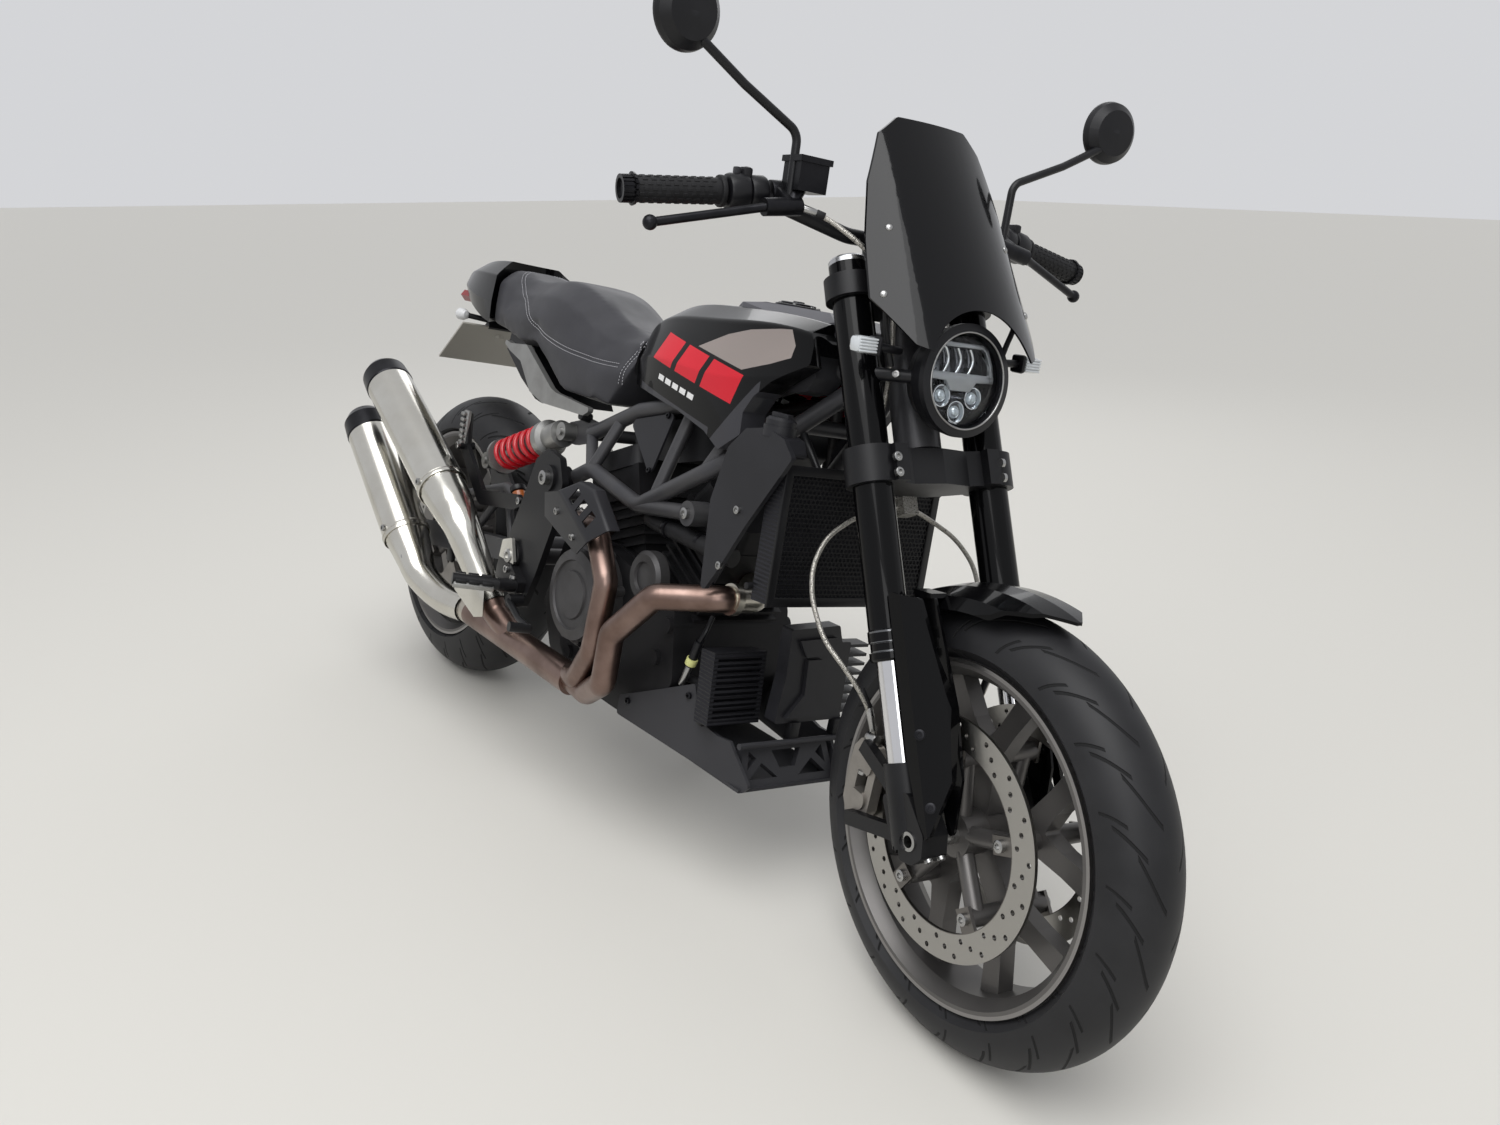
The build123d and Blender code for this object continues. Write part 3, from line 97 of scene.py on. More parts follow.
LEANING = Matrix.Rotation(radians(PITCH), 4, "Y") @ Matrix.Rotation(radians(-LEAN), 4, "X")
STANDING = LEANING @ Matrix.Scale(MM, 4)
BIKE = Matrix.Translation(middle("rear_tyre") - STANDING @ REAR_AXLE) @ STANDING
TO_DRAWING = BIKE.inverted()
FOOT = Matrix.Translation(STEER_FOOT)
FORK = BIKE @ FOOT @ Matrix.Rotation(radians(STEER_AT_REST), 4, UP) @ FOOT.inverted()
DRAWN_ON = {"chassis": BIKE, "steering": FORK, "front_wheel": FORK}
print("front axle is off by", round((FORK @ FRONT_AXLE - middle("front_axle")).length * 1000, 2), "mm")

# %% [markdown]
# The camera stands where the photographer stood: a wide lens a little over a metre up, close to the front
# wheel, so the wheel looms and the tail shrinks. Its place was found by fitting the known wheel and fork
# sizes to the photograph, and it is given here from the rear tyre's middle, so it stays right if the
# frame's origin moves.

# %% The camera
CAMERA_AT = Vector((2.38528, -1.06372, 0.81605))
CAMERA_YAW, CAMERA_PITCH, CAMERA_ROLL = radians(142.352), radians(-19.114), radians(0.564)

look = Vector((cos(CAMERA_YAW) * cos(CAMERA_PITCH), sin(CAMERA_YAW) * cos(CAMERA_PITCH), sin(CAMERA_PITCH)))
level = look.cross(Vector((0, 0, 1))).normalized()
right = level * cos(CAMERA_ROLL) + level.cross(look) * sin(CAMERA_ROLL)
lens = bpy.data.cameras.new("camera")
lens.lens = 27.73
lens.sensor_width = 36
lens.clip_start = 0.01
camera = put("camera", lens)
camera.matrix_world = axes_at(middle("rear_tyre") + CAMERA_AT, right, right.cross(look), look * -1)
scene.camera = camera
scene.view_settings.view_transform = "Standard"
print("camera at", [round(v, 3) for v in camera.matrix_world.translation])

# %% [markdown]
# Shaders work in linear light, while colours are written and compared as sRGB hex codes, so one function
# turns the one into the other. Another adds a node with its settings and wires in one call, and a third
# uses it for sums, which keeps a material's recipe short enough to read from top to bottom.

# %% Colours and nodes
def linear(code):
    """An sRGB hex code as the linear colour that a shader takes."""
    channels = [int(code[at:at + 2], 16) / 255 for at in (1, 3, 5)]
    return [c / 12.92 if c <= 0.04045 else ((c + 0.055) / 1.055) ** 2.4 for c in channels] + [1.0]


def add_node(tree, kind, settings=None, wires=None):
    """One more shader node: its options and socket values, and the outputs wired into it."""
    node = tree.nodes.new("ShaderNode" + kind)
    for name, value in (settings or {}).items():
        if isinstance(name, str) and name in node.bl_rna.properties:
            setattr(node, name, value)
        else:
            node.inputs[name].default_value = value
    for name, source in (wires or {}).items():
        tree.links.new(source, node.inputs[name])
    return node


def calculate(tree, operation, *values, kind="Math"):
    """One sum: each value is a number, a vector or another node's output."""
    wires = {at: value for at, value in enumerate(values) if isinstance(value, bpy.types.NodeSocket)}
    settings = {at: value for at, value in enumerate(values) if at not in wires}
    node = add_node(tree, kind, {"operation": operation, **settings}, wires)
    is_number = kind == "Math" or operation in ("DOT_PRODUCT", "LENGTH")
    return node.outputs["Value" if is_number else "Vector"]


def every(tree, tests):
    """1 where each of the tests is 1."""
    factor = tests[0]
    for test in tests[1:]:
        factor = calculate(tree, "MULTIPLY", factor, test)
    return factor


def on_drawing(tree, matrix=BIKE):
    """Where a point lies on the upright drawing, in millimetres, whatever the machine's lean."""
    back = matrix.inverted()
    coordinates = add_node(tree, "TexCoord")
    lay = {"Location": back.translation, "Rotation": back.to_euler("XYZ"), "Scale": back.to_scale()}
    return add_node(tree, "Mapping", lay, {"Vector": coordinates.outputs["Object"]}).outputs["Vector"]

# %% [markdown]
# The floor is one plain pale plane, and the sky is the same pale grey to the eye and in reflections,
# while it lights the machine more gently. Three large soft lamps stand for ceiling panels: a key
# overhead, a fill by the camera and a rim behind, so that black parts show their edges.

# %% Floor, sky and lamps
bpy.ops.object.select_all(action="DESELECT")
bpy.ops.mesh.primitive_plane_add(size=60)
floor = bpy.context.object
floor.name = "floor"
stone = bpy.data.materials.new("pale_floor")
stone.use_nodes = True
stone.node_tree.nodes["Principled BSDF"].inputs["Base Color"].default_value = linear("#cbc9c3")
stone.node_tree.nodes["Principled BSDF"].inputs["Roughness"].default_value = 0.55
floor.data.materials.append(stone)

world = bpy.data.worlds.new("studio")
scene.world = world
world.use_nodes = True
sky = world.node_tree
ray = add_node(sky, "LightPath").outputs
seen = calculate(sky, "MAXIMUM", ray["Is Camera Ray"], ray["Is Glossy Ray"])
seen = calculate(sky, "MAXIMUM", seen, ray["Is Transmission Ray"])
glow = add_node(sky, "MapRange", {"To Min": 0.6, "To Max": 0.85}, {"Value": seen})
background = sky.nodes["Background"]
background.inputs["Color"].default_value = linear("#e4e5e8")
sky.links.new(glow.outputs[0], background.inputs["Strength"])

# name, where it hangs, what it aims at, its width, its power
LAMPS = [
    ("key", (0.9, -1.6, 3.6), (0.2, 0, 0.5), 3.2, 60),
    ("fill", (3.2, -2.4, 2.0), (0.2, 0, 0.5), 1.6, 20),
    ("rim", (-2.4, 2.6, 2.6), (0, 0, 0.6), 2.0, 18),
]
for name, place, aim, width, power in LAMPS:
    lamp = bpy.data.lights.new(name, "AREA")
    lamp.size = width
    lamp.energy = power
    stand = put(name, lamp)
    stand.location = place
    stand.rotation_euler = (Vector(aim) - Vector(place)).to_track_quat("-Z", "Y").to_euler()
# An even light without falloff keeps the floor pale out to the horizon
even = bpy.data.lights.new("even", "SUN")
even.angle = radians(50)
even.energy = 1.5
put("even", even).rotation_euler = (radians(18), radians(14), 0)
print("lamps", len(LAMPS))

# %% [markdown]
# Every finish starts the same way: a named material, its colour, and what its surface does with light.
# Two small recipes then break up the evenness. Patches lay a second shade over the first in clouds a hand
# or two across, as dust, heat or handling leave it, and shift the gloss a little with it. Grain is the
# fine relief that the process left: the spark-eroded skin of a mould, the sand of a casting, the orange
# peel of paint. Both are given in real millimetres on the drawing.

# %% Recipes that every finish shares
def shader_of(material):
    return material.node_tree.nodes["Principled BSDF"]


def finish(name, colour, metallic=0.0, roughness=0.5, more=None):
    """A new material with the shader's even values set on its own sockets."""
    material = bpy.data.materials.new(name)
    material.use_nodes = True
    values = {"Base Color": linear(colour), "Metallic": metallic, "Roughness": roughness,
              "Specular IOR Level": 0.3, **(more or {})}
    for socket, value in values.items():
        shader_of(material).inputs[socket].default_value = value
    return material


def clouds(tree, size_mm, detail, matrix):
    """An uneven pattern of a size on the drawing."""
    settings = {"Scale": 1 / size_mm, "Detail": detail}
    return add_node(tree, "TexNoise", settings, {"Vector": on_drawing(tree, matrix)}).outputs["Fac"]


def patches(material, second, size_mm, most=0.6, gloss=0.06, matrix=BIKE):
    """A second shade in soft clouds, a little duller than the first."""
    tree = material.node_tree
    colour, rough = [shader_of(material).inputs[name] for name in ("Base Color", "Roughness")]
    amount = add_node(tree, "MapRange", {"From Min": 0.38, "From Max": 0.66, "To Max": most},
                      {"Value": clouds(tree, size_mm, 5.0, matrix)}).outputs[0]
    shades = {"Color1": colour.default_value, "Color2": linear(second)}
    blend = add_node(tree, "MixRGB", shades, {"Fac": amount})
    least = rough.default_value - gloss / 2
    dull = add_node(tree, "MapRange", {"To Min": least, "To Max": least + 1.5 * gloss}, {"Value": amount})
    tree.links.new(blend.outputs[0], colour)
    tree.links.new(dull.outputs[0], rough)
    return material


def emboss(material, height, depth_mm, strength, invert=False):
    """Relief from a height, on top of the relief that the finish has."""
    tree = material.node_tree
    normal = shader_of(material).inputs["Normal"]
    below = {"Normal": link.from_socket for link in normal.links}
    settings = {"invert": invert, "Strength": strength, "Distance": depth_mm * MM}
    tree.links.new(add_node(tree, "Bump", settings, {"Height": height, **below}).outputs[0], normal)
    return material


def grain(material, size_mm, depth_mm, strength=0.5, matrix=BIKE):
    """Fine relief all over."""
    return emboss(material, clouds(material.node_tree, size_mm, 3.0, matrix), depth_mm, strength)


def worn(name, colour, metallic, roughness, second, cloud_mm, grain_mm, depth_mm, most=0.6):
    """The usual finish: its colour, a second shade in clouds of a size, and its grain's size and depth."""
    material = patches(finish(name, colour, metallic, roughness), second, cloud_mm, most)
    return grain(material, grain_mm, depth_mm)

# %% [markdown]
# Painted and coated metal. The frame is powder coated: baked plastic powder, satin, with an orange peel
# about two millimetres across. Tank, cowl, screen, guard and fork tubes are black lacquer under a clear
# coat, so their own roughness hardly shows and the coat gives the sharp highlights. The spring is powder
# coated in red.

# %% Paint and powder coat
POWDER_GREY = worn("powder_coat_grey", "#3d3d40", 0.25, 0.4, "#4a4949", 60, 2, 0.05)
POWDER_BLACK = worn("powder_coat_black", "#101012", 0.1, 0.42, "#19191b", 70, 2, 0.05)
GLOSS = {"Specular IOR Level": 0.06, "Coat Weight": 0.25, "Coat Roughness": 0.03}
LACQUER = grain(finish("black_lacquer", "#050506", 0.0, 0.2, GLOSS), 9, 0.012)
SCREEN = grain(finish("smoked_screen", "#08080a", 0.0, 0.12, {**GLOSS, "Coat Weight": 0.4}), 12, 0.01)
SPRING_RED = finish("red_powder_coat", "#b3131f", 0.0, 0.3, {"Coat Weight": 0.5})
SPRING_RED = grain(patches(SPRING_RED, "#8d0f19", 40, 0.4), 2, 0.04)

# %% [markdown]
# Cast and machined metal. Sand and die castings keep a skin of small pits about a millimetre across under
# their paint. The wheels are cast and painted in graphite with a metal flake. Turned and ground steel is
# bright, with fine lines where the tool went round, and a stainless can is polished until it is nearly a
# mirror.

# %% Castings and bare metal
CAST_BLACK = worn("painted_casting_black", "#161618", 0.3, 0.55, "#232224", 45, 1.2, 0.12)
CAST_GREY = worn("painted_casting_grey", "#4b4a4b", 0.55, 0.48, "#3a3939", 50, 1.2, 0.1)
CALIPER_COAT = worn("titanium_hard_anodising", "#8f8b86", 0.8, 0.42, "#7b7772", 30, 0.9, 0.05)
STEEL = worn("ground_steel", "#a5a5a4", 1.0, 0.3, "#8d8c8a", 25, 0.6, 0.02)
STAINLESS = worn("polished_stainless", "#d3d1ca", 1.0, 0.2, "#bcb8ae", 90, 0.5, 0.01, 0.5)
CHROME = patches(finish("hard_chrome", "#dcdcde", 1.0, 0.07), "#c9c9cc", 60, 0.4, 0.03, FORK)
ALLOY = worn("bead_blasted_aluminium", "#9b9b99", 0.9, 0.42, "#878684", 40, 0.5, 0.04)
ANODISED = worn("black_anodised_aluminium", "#1b1b1e", 0.7, 0.34, "#29292c", 30, 0.5, 0.02)

# %% [markdown]
# Moulded parts. Unpainted plastic takes its skin from the mould: spark erosion leaves a leathery grain
# half a millimetre across that scatters light, so a black panel reads as dark grey. Rubber is duller
# still, and greys where it is rubbed.

# %% Plastic and rubber
SHROUD_PLASTIC = worn("moulded_nylon_black", "#1c1c1f", 0.0, 0.45, "#252529", 90, 0.8, 0.06)
PAN_PLASTIC = worn("moulded_nylon_grey", "#2b2b2e", 0.0, 0.55, "#343437", 120, 0.8, 0.08)
SOFT_BLACK = worn("moulded_abs_black", "#101013", 0.0, 0.4, "#18181b", 40, 0.7, 0.05)
GRIP_RUBBER = worn("moulded_rubber", "#121214", 0.0, 0.6, "#1c1c1e", 20, 0.9, 0.1)
TYRE_RUBBER = worn("tyre_rubber", "#19191b", 0.0, 0.52, "#232325", 70, 0.9, 0.08, 0.7)

# %% [markdown]
# Some parts carry more than one finish: a lens in a housing, a bright pipe that meets a bronzed one, bars
# on a tank. The point's place on the drawing decides which finish it gets. One helper lays a new colour,
# gloss and metal over the old ones where a mask is 1, and another makes that mask from a box on the
# drawing.

# %% Second finishes by place
OPEN = (None, None, None)


def variant(material, name):
    """A copy of a finish, which carries another one in places."""
    copy = material.copy()
    copy.name = name
    return copy


def overlay(material, mask, colour, roughness=None, metallic=None):
    """Another finish wherever the mask is 1."""
    tree = material.node_tree
    for name, value in (("Base Color", linear(colour)), ("Roughness", roughness), ("Metallic", metallic)):
        if value is None:
            continue
        socket = shader_of(material).inputs[name]
        kind, first, second = ("RGBA", 6, 7) if name == "Base Color" else ("FLOAT", 2, 3)
        wires = {0: mask}
        settings = {"data_type": kind, second: value, first: socket.default_value}
        if socket.is_linked:
            wires[first] = socket.links[0].from_socket
        blend = add_node(tree, "Mix", settings, wires)
        tree.links.new(blend.outputs[2 if kind == "RGBA" else 0], socket)
    return material


def area(material, low, high, colour, roughness=None, metallic=None):
    """Another finish between two corners of the drawing, with None for a side that is open."""
    tree = material.node_tree
    axes = add_node(tree, "SeparateXYZ", None, {0: on_drawing(tree)}).outputs
    tests = [calculate(tree, kind, axes[axis], limit)
             for kind, corner in (("GREATER_THAN", low), ("LESS_THAN", high))
             for axis, limit in enumerate(corner) if limit is not None]
    return overlay(material, every(tree, tests), colour, roughness, metallic)

# %% [markdown]
# Round things carry round marks. A brake disc is ground flat while it turns, which leaves rings about
# half a millimetre apart, and the pads then sweep a bright band near its edge. A wheel's lip is cut
# bright on the same lathe. Both follow the distance from the axle, so the pattern is built from that
# radius.

# %% Finishes that follow the radius
def from_centre(tree, centre, matrix):
    """How far a point is from a centre on the drawing, along each axis."""
    return calculate(tree, "SUBTRACT", on_drawing(tree, matrix), centre, kind="VectorMath")


def radius_about(tree, centre, matrix):
    """The distance from an axle that runs across the machine, in millimetres."""
    flat = calculate(tree, "MULTIPLY", from_centre(tree, centre, matrix), (1, 0, 1), kind="VectorMath")
    return calculate(tree, "LENGTH", flat, kind="VectorMath")


def band(tree, value, low, high):
    """1 where the value is between two limits."""
    tests = (("GREATER_THAN", low), ("LESS_THAN", high))
    return every(tree, [calculate(tree, kind, value, limit) for kind, limit in tests])


def ground_disc(name, centre, matrix, swept):
    """Disc steel: rings from the grinding, and the band that the pads keep bright."""
    material = finish(name, "#6f6c69", 1.0, 0.36)
    tree = material.node_tree
    radius = radius_about(tree, centre, matrix)
    overlay(material, band(tree, radius, *swept), "#a19f9b", 0.28)
    ground = {"noise_dimensions": "1D", "Scale": 2.2, "Detail": 2.0}
    rings = add_node(tree, "TexNoise", ground, {"W": radius})
    return emboss(material, rings.outputs["Fac"], 0.02, 0.35)


def cast_wheel(name, centre, matrix, lip):
    """The wheel's paint with its lathe-cut lip."""
    material = patches(finish(name, "#5d5b5a", 0.7, 0.4), "#6a6866", 80, 0.5, 0.06, matrix)
    grain(material, 0.8, 0.03)
    tree = material.node_tree
    return overlay(material, band(tree, radius_about(tree, centre, matrix), *lip), "#8b8988", 0.3, 0.95)


RIM_LIP = (224, 231)
FRONT_DISC = ground_disc("front_disc_steel", FRONT_AXLE, FORK, (123, 161))
REAR_DISC = ground_disc("rear_disc_steel", REAR_AXLE, BIKE, (100, 133))
FRONT_WHEEL = cast_wheel("front_wheel_paint", FRONT_AXLE, FORK, RIM_LIP)
REAR_WHEEL = cast_wheel("rear_wheel_paint", REAR_AXLE, BIKE, RIM_LIP)

# %% [markdown]
# The exhaust is stainless steel that heat has bronzed from the ports to the last bend, where the cans
# stay bright. The piece that crosses in front of the engine is a newer, bright length behind its clamp.

# %% Exhaust
BRONZED = patches(finish("heat_bronzed_stainless", "#86726a", 1.0, 0.34), "#66534b", 70, 0.8, 0.1)
grain(BRONZED, 0.6, 0.02)
area(BRONZED, (1000, -113, None), OPEN, "#b9b5aa", 0.3)
area(BRONZED, OPEN, (330, None, None), "#b9b2a6", 0.28)

# %% [markdown]
# A radiator core is a stack of thin black fins between flat water tubes. A braided hose is covered in
# fine steel wire, woven in diamonds. Both are finer than the picture's pixels, so their bump is drawn a
# little coarser than life.

# %% Cooling fins and wire braid
FINS = finish("radiator_fins", "#26262a", 0.5, 0.5)
core = FINS.node_tree
rows = add_node(core, "TexWave", {"bands_direction": "Z", "Scale": 0.05}, {"Vector": on_drawing(core)})
emboss(FINS, rows.outputs["Fac"], 1.5, 0.8)

BRAID = finish("braided_steel_wire", "#a9a69f", 0.9, 0.36)
wire = BRAID.node_tree
plait = add_node(wire, "TexVoronoi", {"Scale": 0.7}, {"Vector": on_drawing(wire, FORK)}).outputs["Distance"]
emboss(BRAID, plait, 0.6, 0.8)
dark = add_node(wire, "MapRange", {"From Min": 0.5, "From Max": 0.9}, {"Value": plait})
overlay(BRAID, dark.outputs[0], "#3b3a38")

# %% [markdown]
# The headlamp. Its lens is a clear polycarbonate shell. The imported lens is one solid, which would bend
# light more than a shell does, so its IOR is set below the plastic's own. The reflector behind it is
# coated in a vacuum.

# %% Lens and reflector
CLEAR = finish("clear_polycarbonate", "#f2f4f5", 0.0, 0.03, {"Transmission Weight": 1.0, "IOR": 1.2})
REFLECTOR = patches(finish("vacuum_coated_reflector", "#8f9094", 0.9, 0.2), "#55565b", 14, 0.7, 0.04, FORK)

# %% [markdown]
# The tank's paint is laid out on the side view: a taupe flash that widens towards the front, bold red
# bars across the flank, a row of small white dashes under them and a graphite border along the lower
# edge. Each shape is cut from straight lines, as a sign painter masks with tape: a point belongs to it
# when it lies on the inner side of every line.

# %% Paint on the tank
def taped(material, corners, colour, roughness=0.3):
    """Another finish in a convex shape: its corners on the side view, x and z, anticlockwise."""
    tree = material.node_tree
    point = on_drawing(tree)
    tests = []
    for (x0, z0), (x1, z1) in zip(corners, corners[1:] + corners[:1]):
        across = (z0 - z1, 0, x1 - x0)
        from_line = calculate(tree, "DOT_PRODUCT", point, across, kind="VectorMath")
        tests.append(calculate(tree, "GREATER_THAN", from_line, across[0] * x0 + across[2] * z0))
    return overlay(material, every(tree, tests), colour, roughness)


TANK_PAINT = variant(LACQUER, "tank_lacquer")
FLASH = [(1023, 820), (1080, 837), (1124, 855), (1111, 869), (1107, 892), (1070, 889), (1006, 880),
         (954, 867), (882, 840)]
taped(TANK_PAINT, FLASH, "#8d8480")
for border in ([(700, 660), (961, 660), (961, 723), (850, 740), (700, 762)],
               [(961, 640), (1075, 640), (1075, 812), (1068, 805), (961, 723)]):
    taped(TANK_PAINT, border, "#39393d")
# Each bar: where its top edge starts and ends; its foot trails behind
BAR_TOP, BAR_SLOPE, BAR_DROP, BAR_TRAIL = 852, -0.147, 46, 22
for rear, fore in ((768, 838), (854, 926), (942, 1034)):
    top = [(x, BAR_TOP + BAR_SLOPE * (x - 768)) for x in (rear, fore)]
    foot = [(x - BAR_TRAIL, z - BAR_DROP) for x, z in top]
    taped(TANK_PAINT, foot + top[::-1], "#c8202f", 0.22)
for dash in range(5):
    x = 778 + 27 * dash
    z = 780 - 0.144 * (x - 778)
    taped(TANK_PAINT, [(x - 3, z - 6), (x + 17, z - 9), (x + 20, z), (x, z + 3)], "#dedede")

TRIM = variant(PAN_PLASTIC, "tank_trim_plastic")
area(TRIM, (None, None, 900), OPEN, "#55555a", 0.4)
area(TRIM, (None, 60, 903), (None, None, 912), "#b3202c", 0.35)

# %% [markdown]
# The fork's outer tubes are lacquered black, with a bright turned cap on top. The plate under the tail is
# blank aluminium on black plastic. Rider and passenger pegs are cast alloy with rubber blocks where a
# boot rests.

# %% Parts with a second finish
FORK_TUBE = variant(LACQUER, "fork_tube_lacquer")
leg = FORK_TUBE.node_tree
up_leg = calculate(leg, "DOT_PRODUCT", from_centre(leg, STEER_FOOT, FORK), UP, kind="VectorMath")
overlay(FORK_TUBE, band(leg, up_leg, 776, 800), "#b9babc", 0.25, 1.0)
for at in (242, 254, 268):
    overlay(FORK_TUBE, band(leg, up_leg, at - 1.2, at + 1.2), "#6d6e70", 0.2, 1.0)

TAIL = variant(SOFT_BLACK, "tail_plastic")
area(TAIL, OPEN, (-36, None, 783), "#a6a39b", 0.45, 0.2)
area(TAIL, (-150, -40, 776), (-30, 40, 800), "#1a1a1c", 0.45, 0.0)
for low, high in ((-110, -70), (70, 110)):
    area(TAIL, (-120, low, 783), (-80, high, 815), "#c9cacb", 0.2, 0.0)
area(TAIL, (-200, -60, 822), (-110, 60, 856), "#7d0c11", 0.15, 0.0)

PEGS = variant(POWDER_BLACK, "hanger_powder_coat")
area(PEGS, (430, None, 378), (505, None, 430), "#c9c7c0", 0.3, 0.9)

# %% [markdown]
# A road tyre's tread is mostly plain rubber with a few grooves. Long ones curve from near the centre line
# back to the shoulder, and short sipes sit between them nearer the edge. The pattern repeats round the
# tyre, so it is drawn once in two numbers: the angle about the axle and the distance from the centre
# line. A groove is where the angle, folded into one repeat, matches the curve.

# %% Tyre tread
REPEATS = 20
# where in the repeat, how far it trails towards the shoulder, its start and end, half its width
GROOVES = [(0.15, 1.5, 0.16, 0.66, 0.045), (0.55, 0.9, 0.52, 0.9, 0.036), (0.85, 0.7, 0.74, 0.97, 0.03)]


def tread(name, centre, matrix, shoulder):
    """Tyre rubber with its grooves in painted shade and in relief."""
    material = variant(TYRE_RUBBER, name)
    tree = material.node_tree
    x, y, z = add_node(tree, "SeparateXYZ", None, {0: from_centre(tree, centre, matrix)}).outputs
    turns = calculate(tree, "MULTIPLY", calculate(tree, "ARCTAN2", z, x), REPEATS / (2 * pi))
    turns = calculate(tree, "MULTIPLY_ADD", calculate(tree, "SIGN", y), 0.25, turns)
    edge = calculate(tree, "DIVIDE", calculate(tree, "ABSOLUTE", y), shoulder)
    deep = 0.0
    for at, trail, inner, outer, half in GROOVES:
        line = calculate(tree, "MULTIPLY_ADD", calculate(tree, "POWER", edge, 1.6), trail, at)
        folded = calculate(tree, "WRAP", calculate(tree, "SUBTRACT", turns, line), 0.5, -0.5)
        walls = {"From Min": half * 0.55, "From Max": half, "To Min": 1.0, "To Max": 0.0}
        wall = add_node(tree, "MapRange", walls, {"Value": calculate(tree, "ABSOLUTE", folded)}).outputs[0]
        groove = calculate(tree, "MULTIPLY", wall, band(tree, edge, inner, outer))
        deep = calculate(tree, "MAXIMUM", deep, groove)
    # The darker colour in the grooves is painted shade; the bump below gives their relief.
    overlay(material, deep, "#0d0d0e", 0.8)
    return emboss(material, deep, 4, 1.0, True)


FRONT_TREAD = tread("front_tyre_rubber", FRONT_AXLE, FORK, 60)
REAR_TREAD = tread("rear_tyre_rubber", REAR_AXLE, BIKE, 90)

# %% [markdown]
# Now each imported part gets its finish. A table keeps it readable: the finish, then every part that wears
# it. The parts' own shapes are never touched here; only the material in their slots changes.

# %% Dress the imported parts
DRESS = [
    (POWDER_GREY, ["frame_trellis", "swingarm"]),
    (POWDER_BLACK, ["pivot_plates", "handlebar", "lower_clamp", "upper_clamp", "side_stand",
                    "foot_controls", "radiator_guard", "fork_bottoms"]),
    (LACQUER, ["tail_cowl", "front_mudguard"]),
    (SCREEN, ["fly_screen"]),
    (TANK_PAINT, ["tank"]),
    (FORK_TUBE, ["fork_outers"]),
    (TRIM, ["tank_trim"]),
    (TAIL, ["tail_fittings"]),
    (PEGS, ["foot_pegs"]),
    (CAST_BLACK, ["crankcase", "cylinders"]),
    (CAST_GREY, ["engine_covers"]),
    (CALIPER_COAT, ["front_calipers", "rear_caliper"]),
    (STEEL, ["rear_axle", "front_axle", "chain", "sprocket"]),
    (ALLOY, ["rear_subframe", "shock"]),
    (STAINLESS, ["silencers"]),
    (CHROME, ["stanchions"]),
    (ANODISED, ["levers", "silencer_caps"]),
    (BRONZED, ["exhaust_headers"]),
    (FINS, ["radiator", "oil_cooler"]),
    (BRAID, ["front_brake_hoses"]),
    (SPRING_RED, ["shock_spring"]),
    (SHROUD_PLASTIC, ["radiator_shrouds", "regulator_cover", "frame_infills", "heat_shield"]),
    (PAN_PLASTIC, ["belly_pan"]),
    (SOFT_BLACK, ["under_covers", "switchgear", "mirrors", "headlamp_shell", "instrument", "seat",
                  "front_indicators"]),
    (GRIP_RUBBER, ["grips"]),
    (FRONT_TREAD, ["front_tyre"]),
    (REAR_TREAD, ["rear_tyre"]),
    (FRONT_WHEEL, ["front_rim"]),
    (REAR_WHEEL, ["rear_rim"]),
    (FRONT_DISC, ["front_discs"]),
    (REAR_DISC, ["rear_disc"]),
    (REFLECTOR, ["headlamp_unit"]),
    (CLEAR, ["headlamp_lens"]),
]
for material, names in DRESS:
    for name in names:
        slots = CAD[name].material_slots
        if not slots:
            CAD[name].data.materials.append(material)
        for slot in slots:
            slot.material = material
dressed = {name for _, names in DRESS for name in names}
print("dressed", len(dressed), "left bare", sorted(set(CAD) - dressed))

# %% [markdown]
# What the imported model leaves to this notebook is modelled from here on. Every piece is drawn in
# millimetres at its place on the upright drawing, so a bolt of ten really measures ten while it is
# shaped. One helper then lays the finished shape on the leaning machine: it applies the modifiers, moves
# the place into the mesh, merges doubled points, turns the faces outwards and hands the piece to the body
# it rides on.

# %% Hands for modelling
MERGE = 0.00002


def alone(piece):
    """Makes the piece the only chosen one."""
    bpy.ops.object.select_all(action="DESELECT")
    piece.select_set(True)
    bpy.context.view_layer.objects.active = piece


@contextmanager
def editing():
    """Edit mode for the steps indented under it."""
    bpy.ops.object.mode_set(mode="EDIT")
    yield
    bpy.ops.object.mode_set(mode="OBJECT")


def start(kind, **size):
    """A new primitive, alone in the selection."""
    bpy.ops.object.select_all(action="DESELECT")
    getattr(bpy.ops.mesh, f"primitive_{kind}_add")(**size)
    return bpy.context.object


def pick(piece, chosen=lambda at, normal: True):
    """In edit mode, selects only the faces whose middle and normal pass the test."""
    bpy.ops.mesh.select_mode(type="FACE")
    bpy.ops.mesh.select_all(action="DESELECT")
    shape = bmesh.from_edit_mesh(piece.data)
    for face in shape.faces:
        face.select_set(chosen(face.calc_center_median(), face.normal))
    bmesh.update_edit_mesh(piece.data)


def sink_top(piece, *steps):
    """In edit mode, insets a shape's top face again and again, by a width and a depth each time."""
    pick(piece, lambda at, normal: normal.z > 0.9)
    for width, depth in steps:
        bpy.ops.mesh.inset(thickness=width, depth=depth)


def hollow(piece, rim):
    """Insets a flat shape and deletes its middle, which leaves a rim."""
    with editing():
        pick(piece)
        bpy.ops.mesh.inset(thickness=rim)
        bpy.ops.mesh.delete(type="FACE")


def modifier(piece, kind, **settings):
    """Adds one modifier with its settings."""
    added = piece.modifiers.new(kind.lower(), kind)
    for name, value in settings.items():
        setattr(added, name, value)
    return added


def soften(piece, width, angle=30):
    """Rounds the edges that are sharper than the angle."""
    modifier(piece, "BEVEL", width=width, segments=2, limit_method="ANGLE", angle_limit=radians(angle))


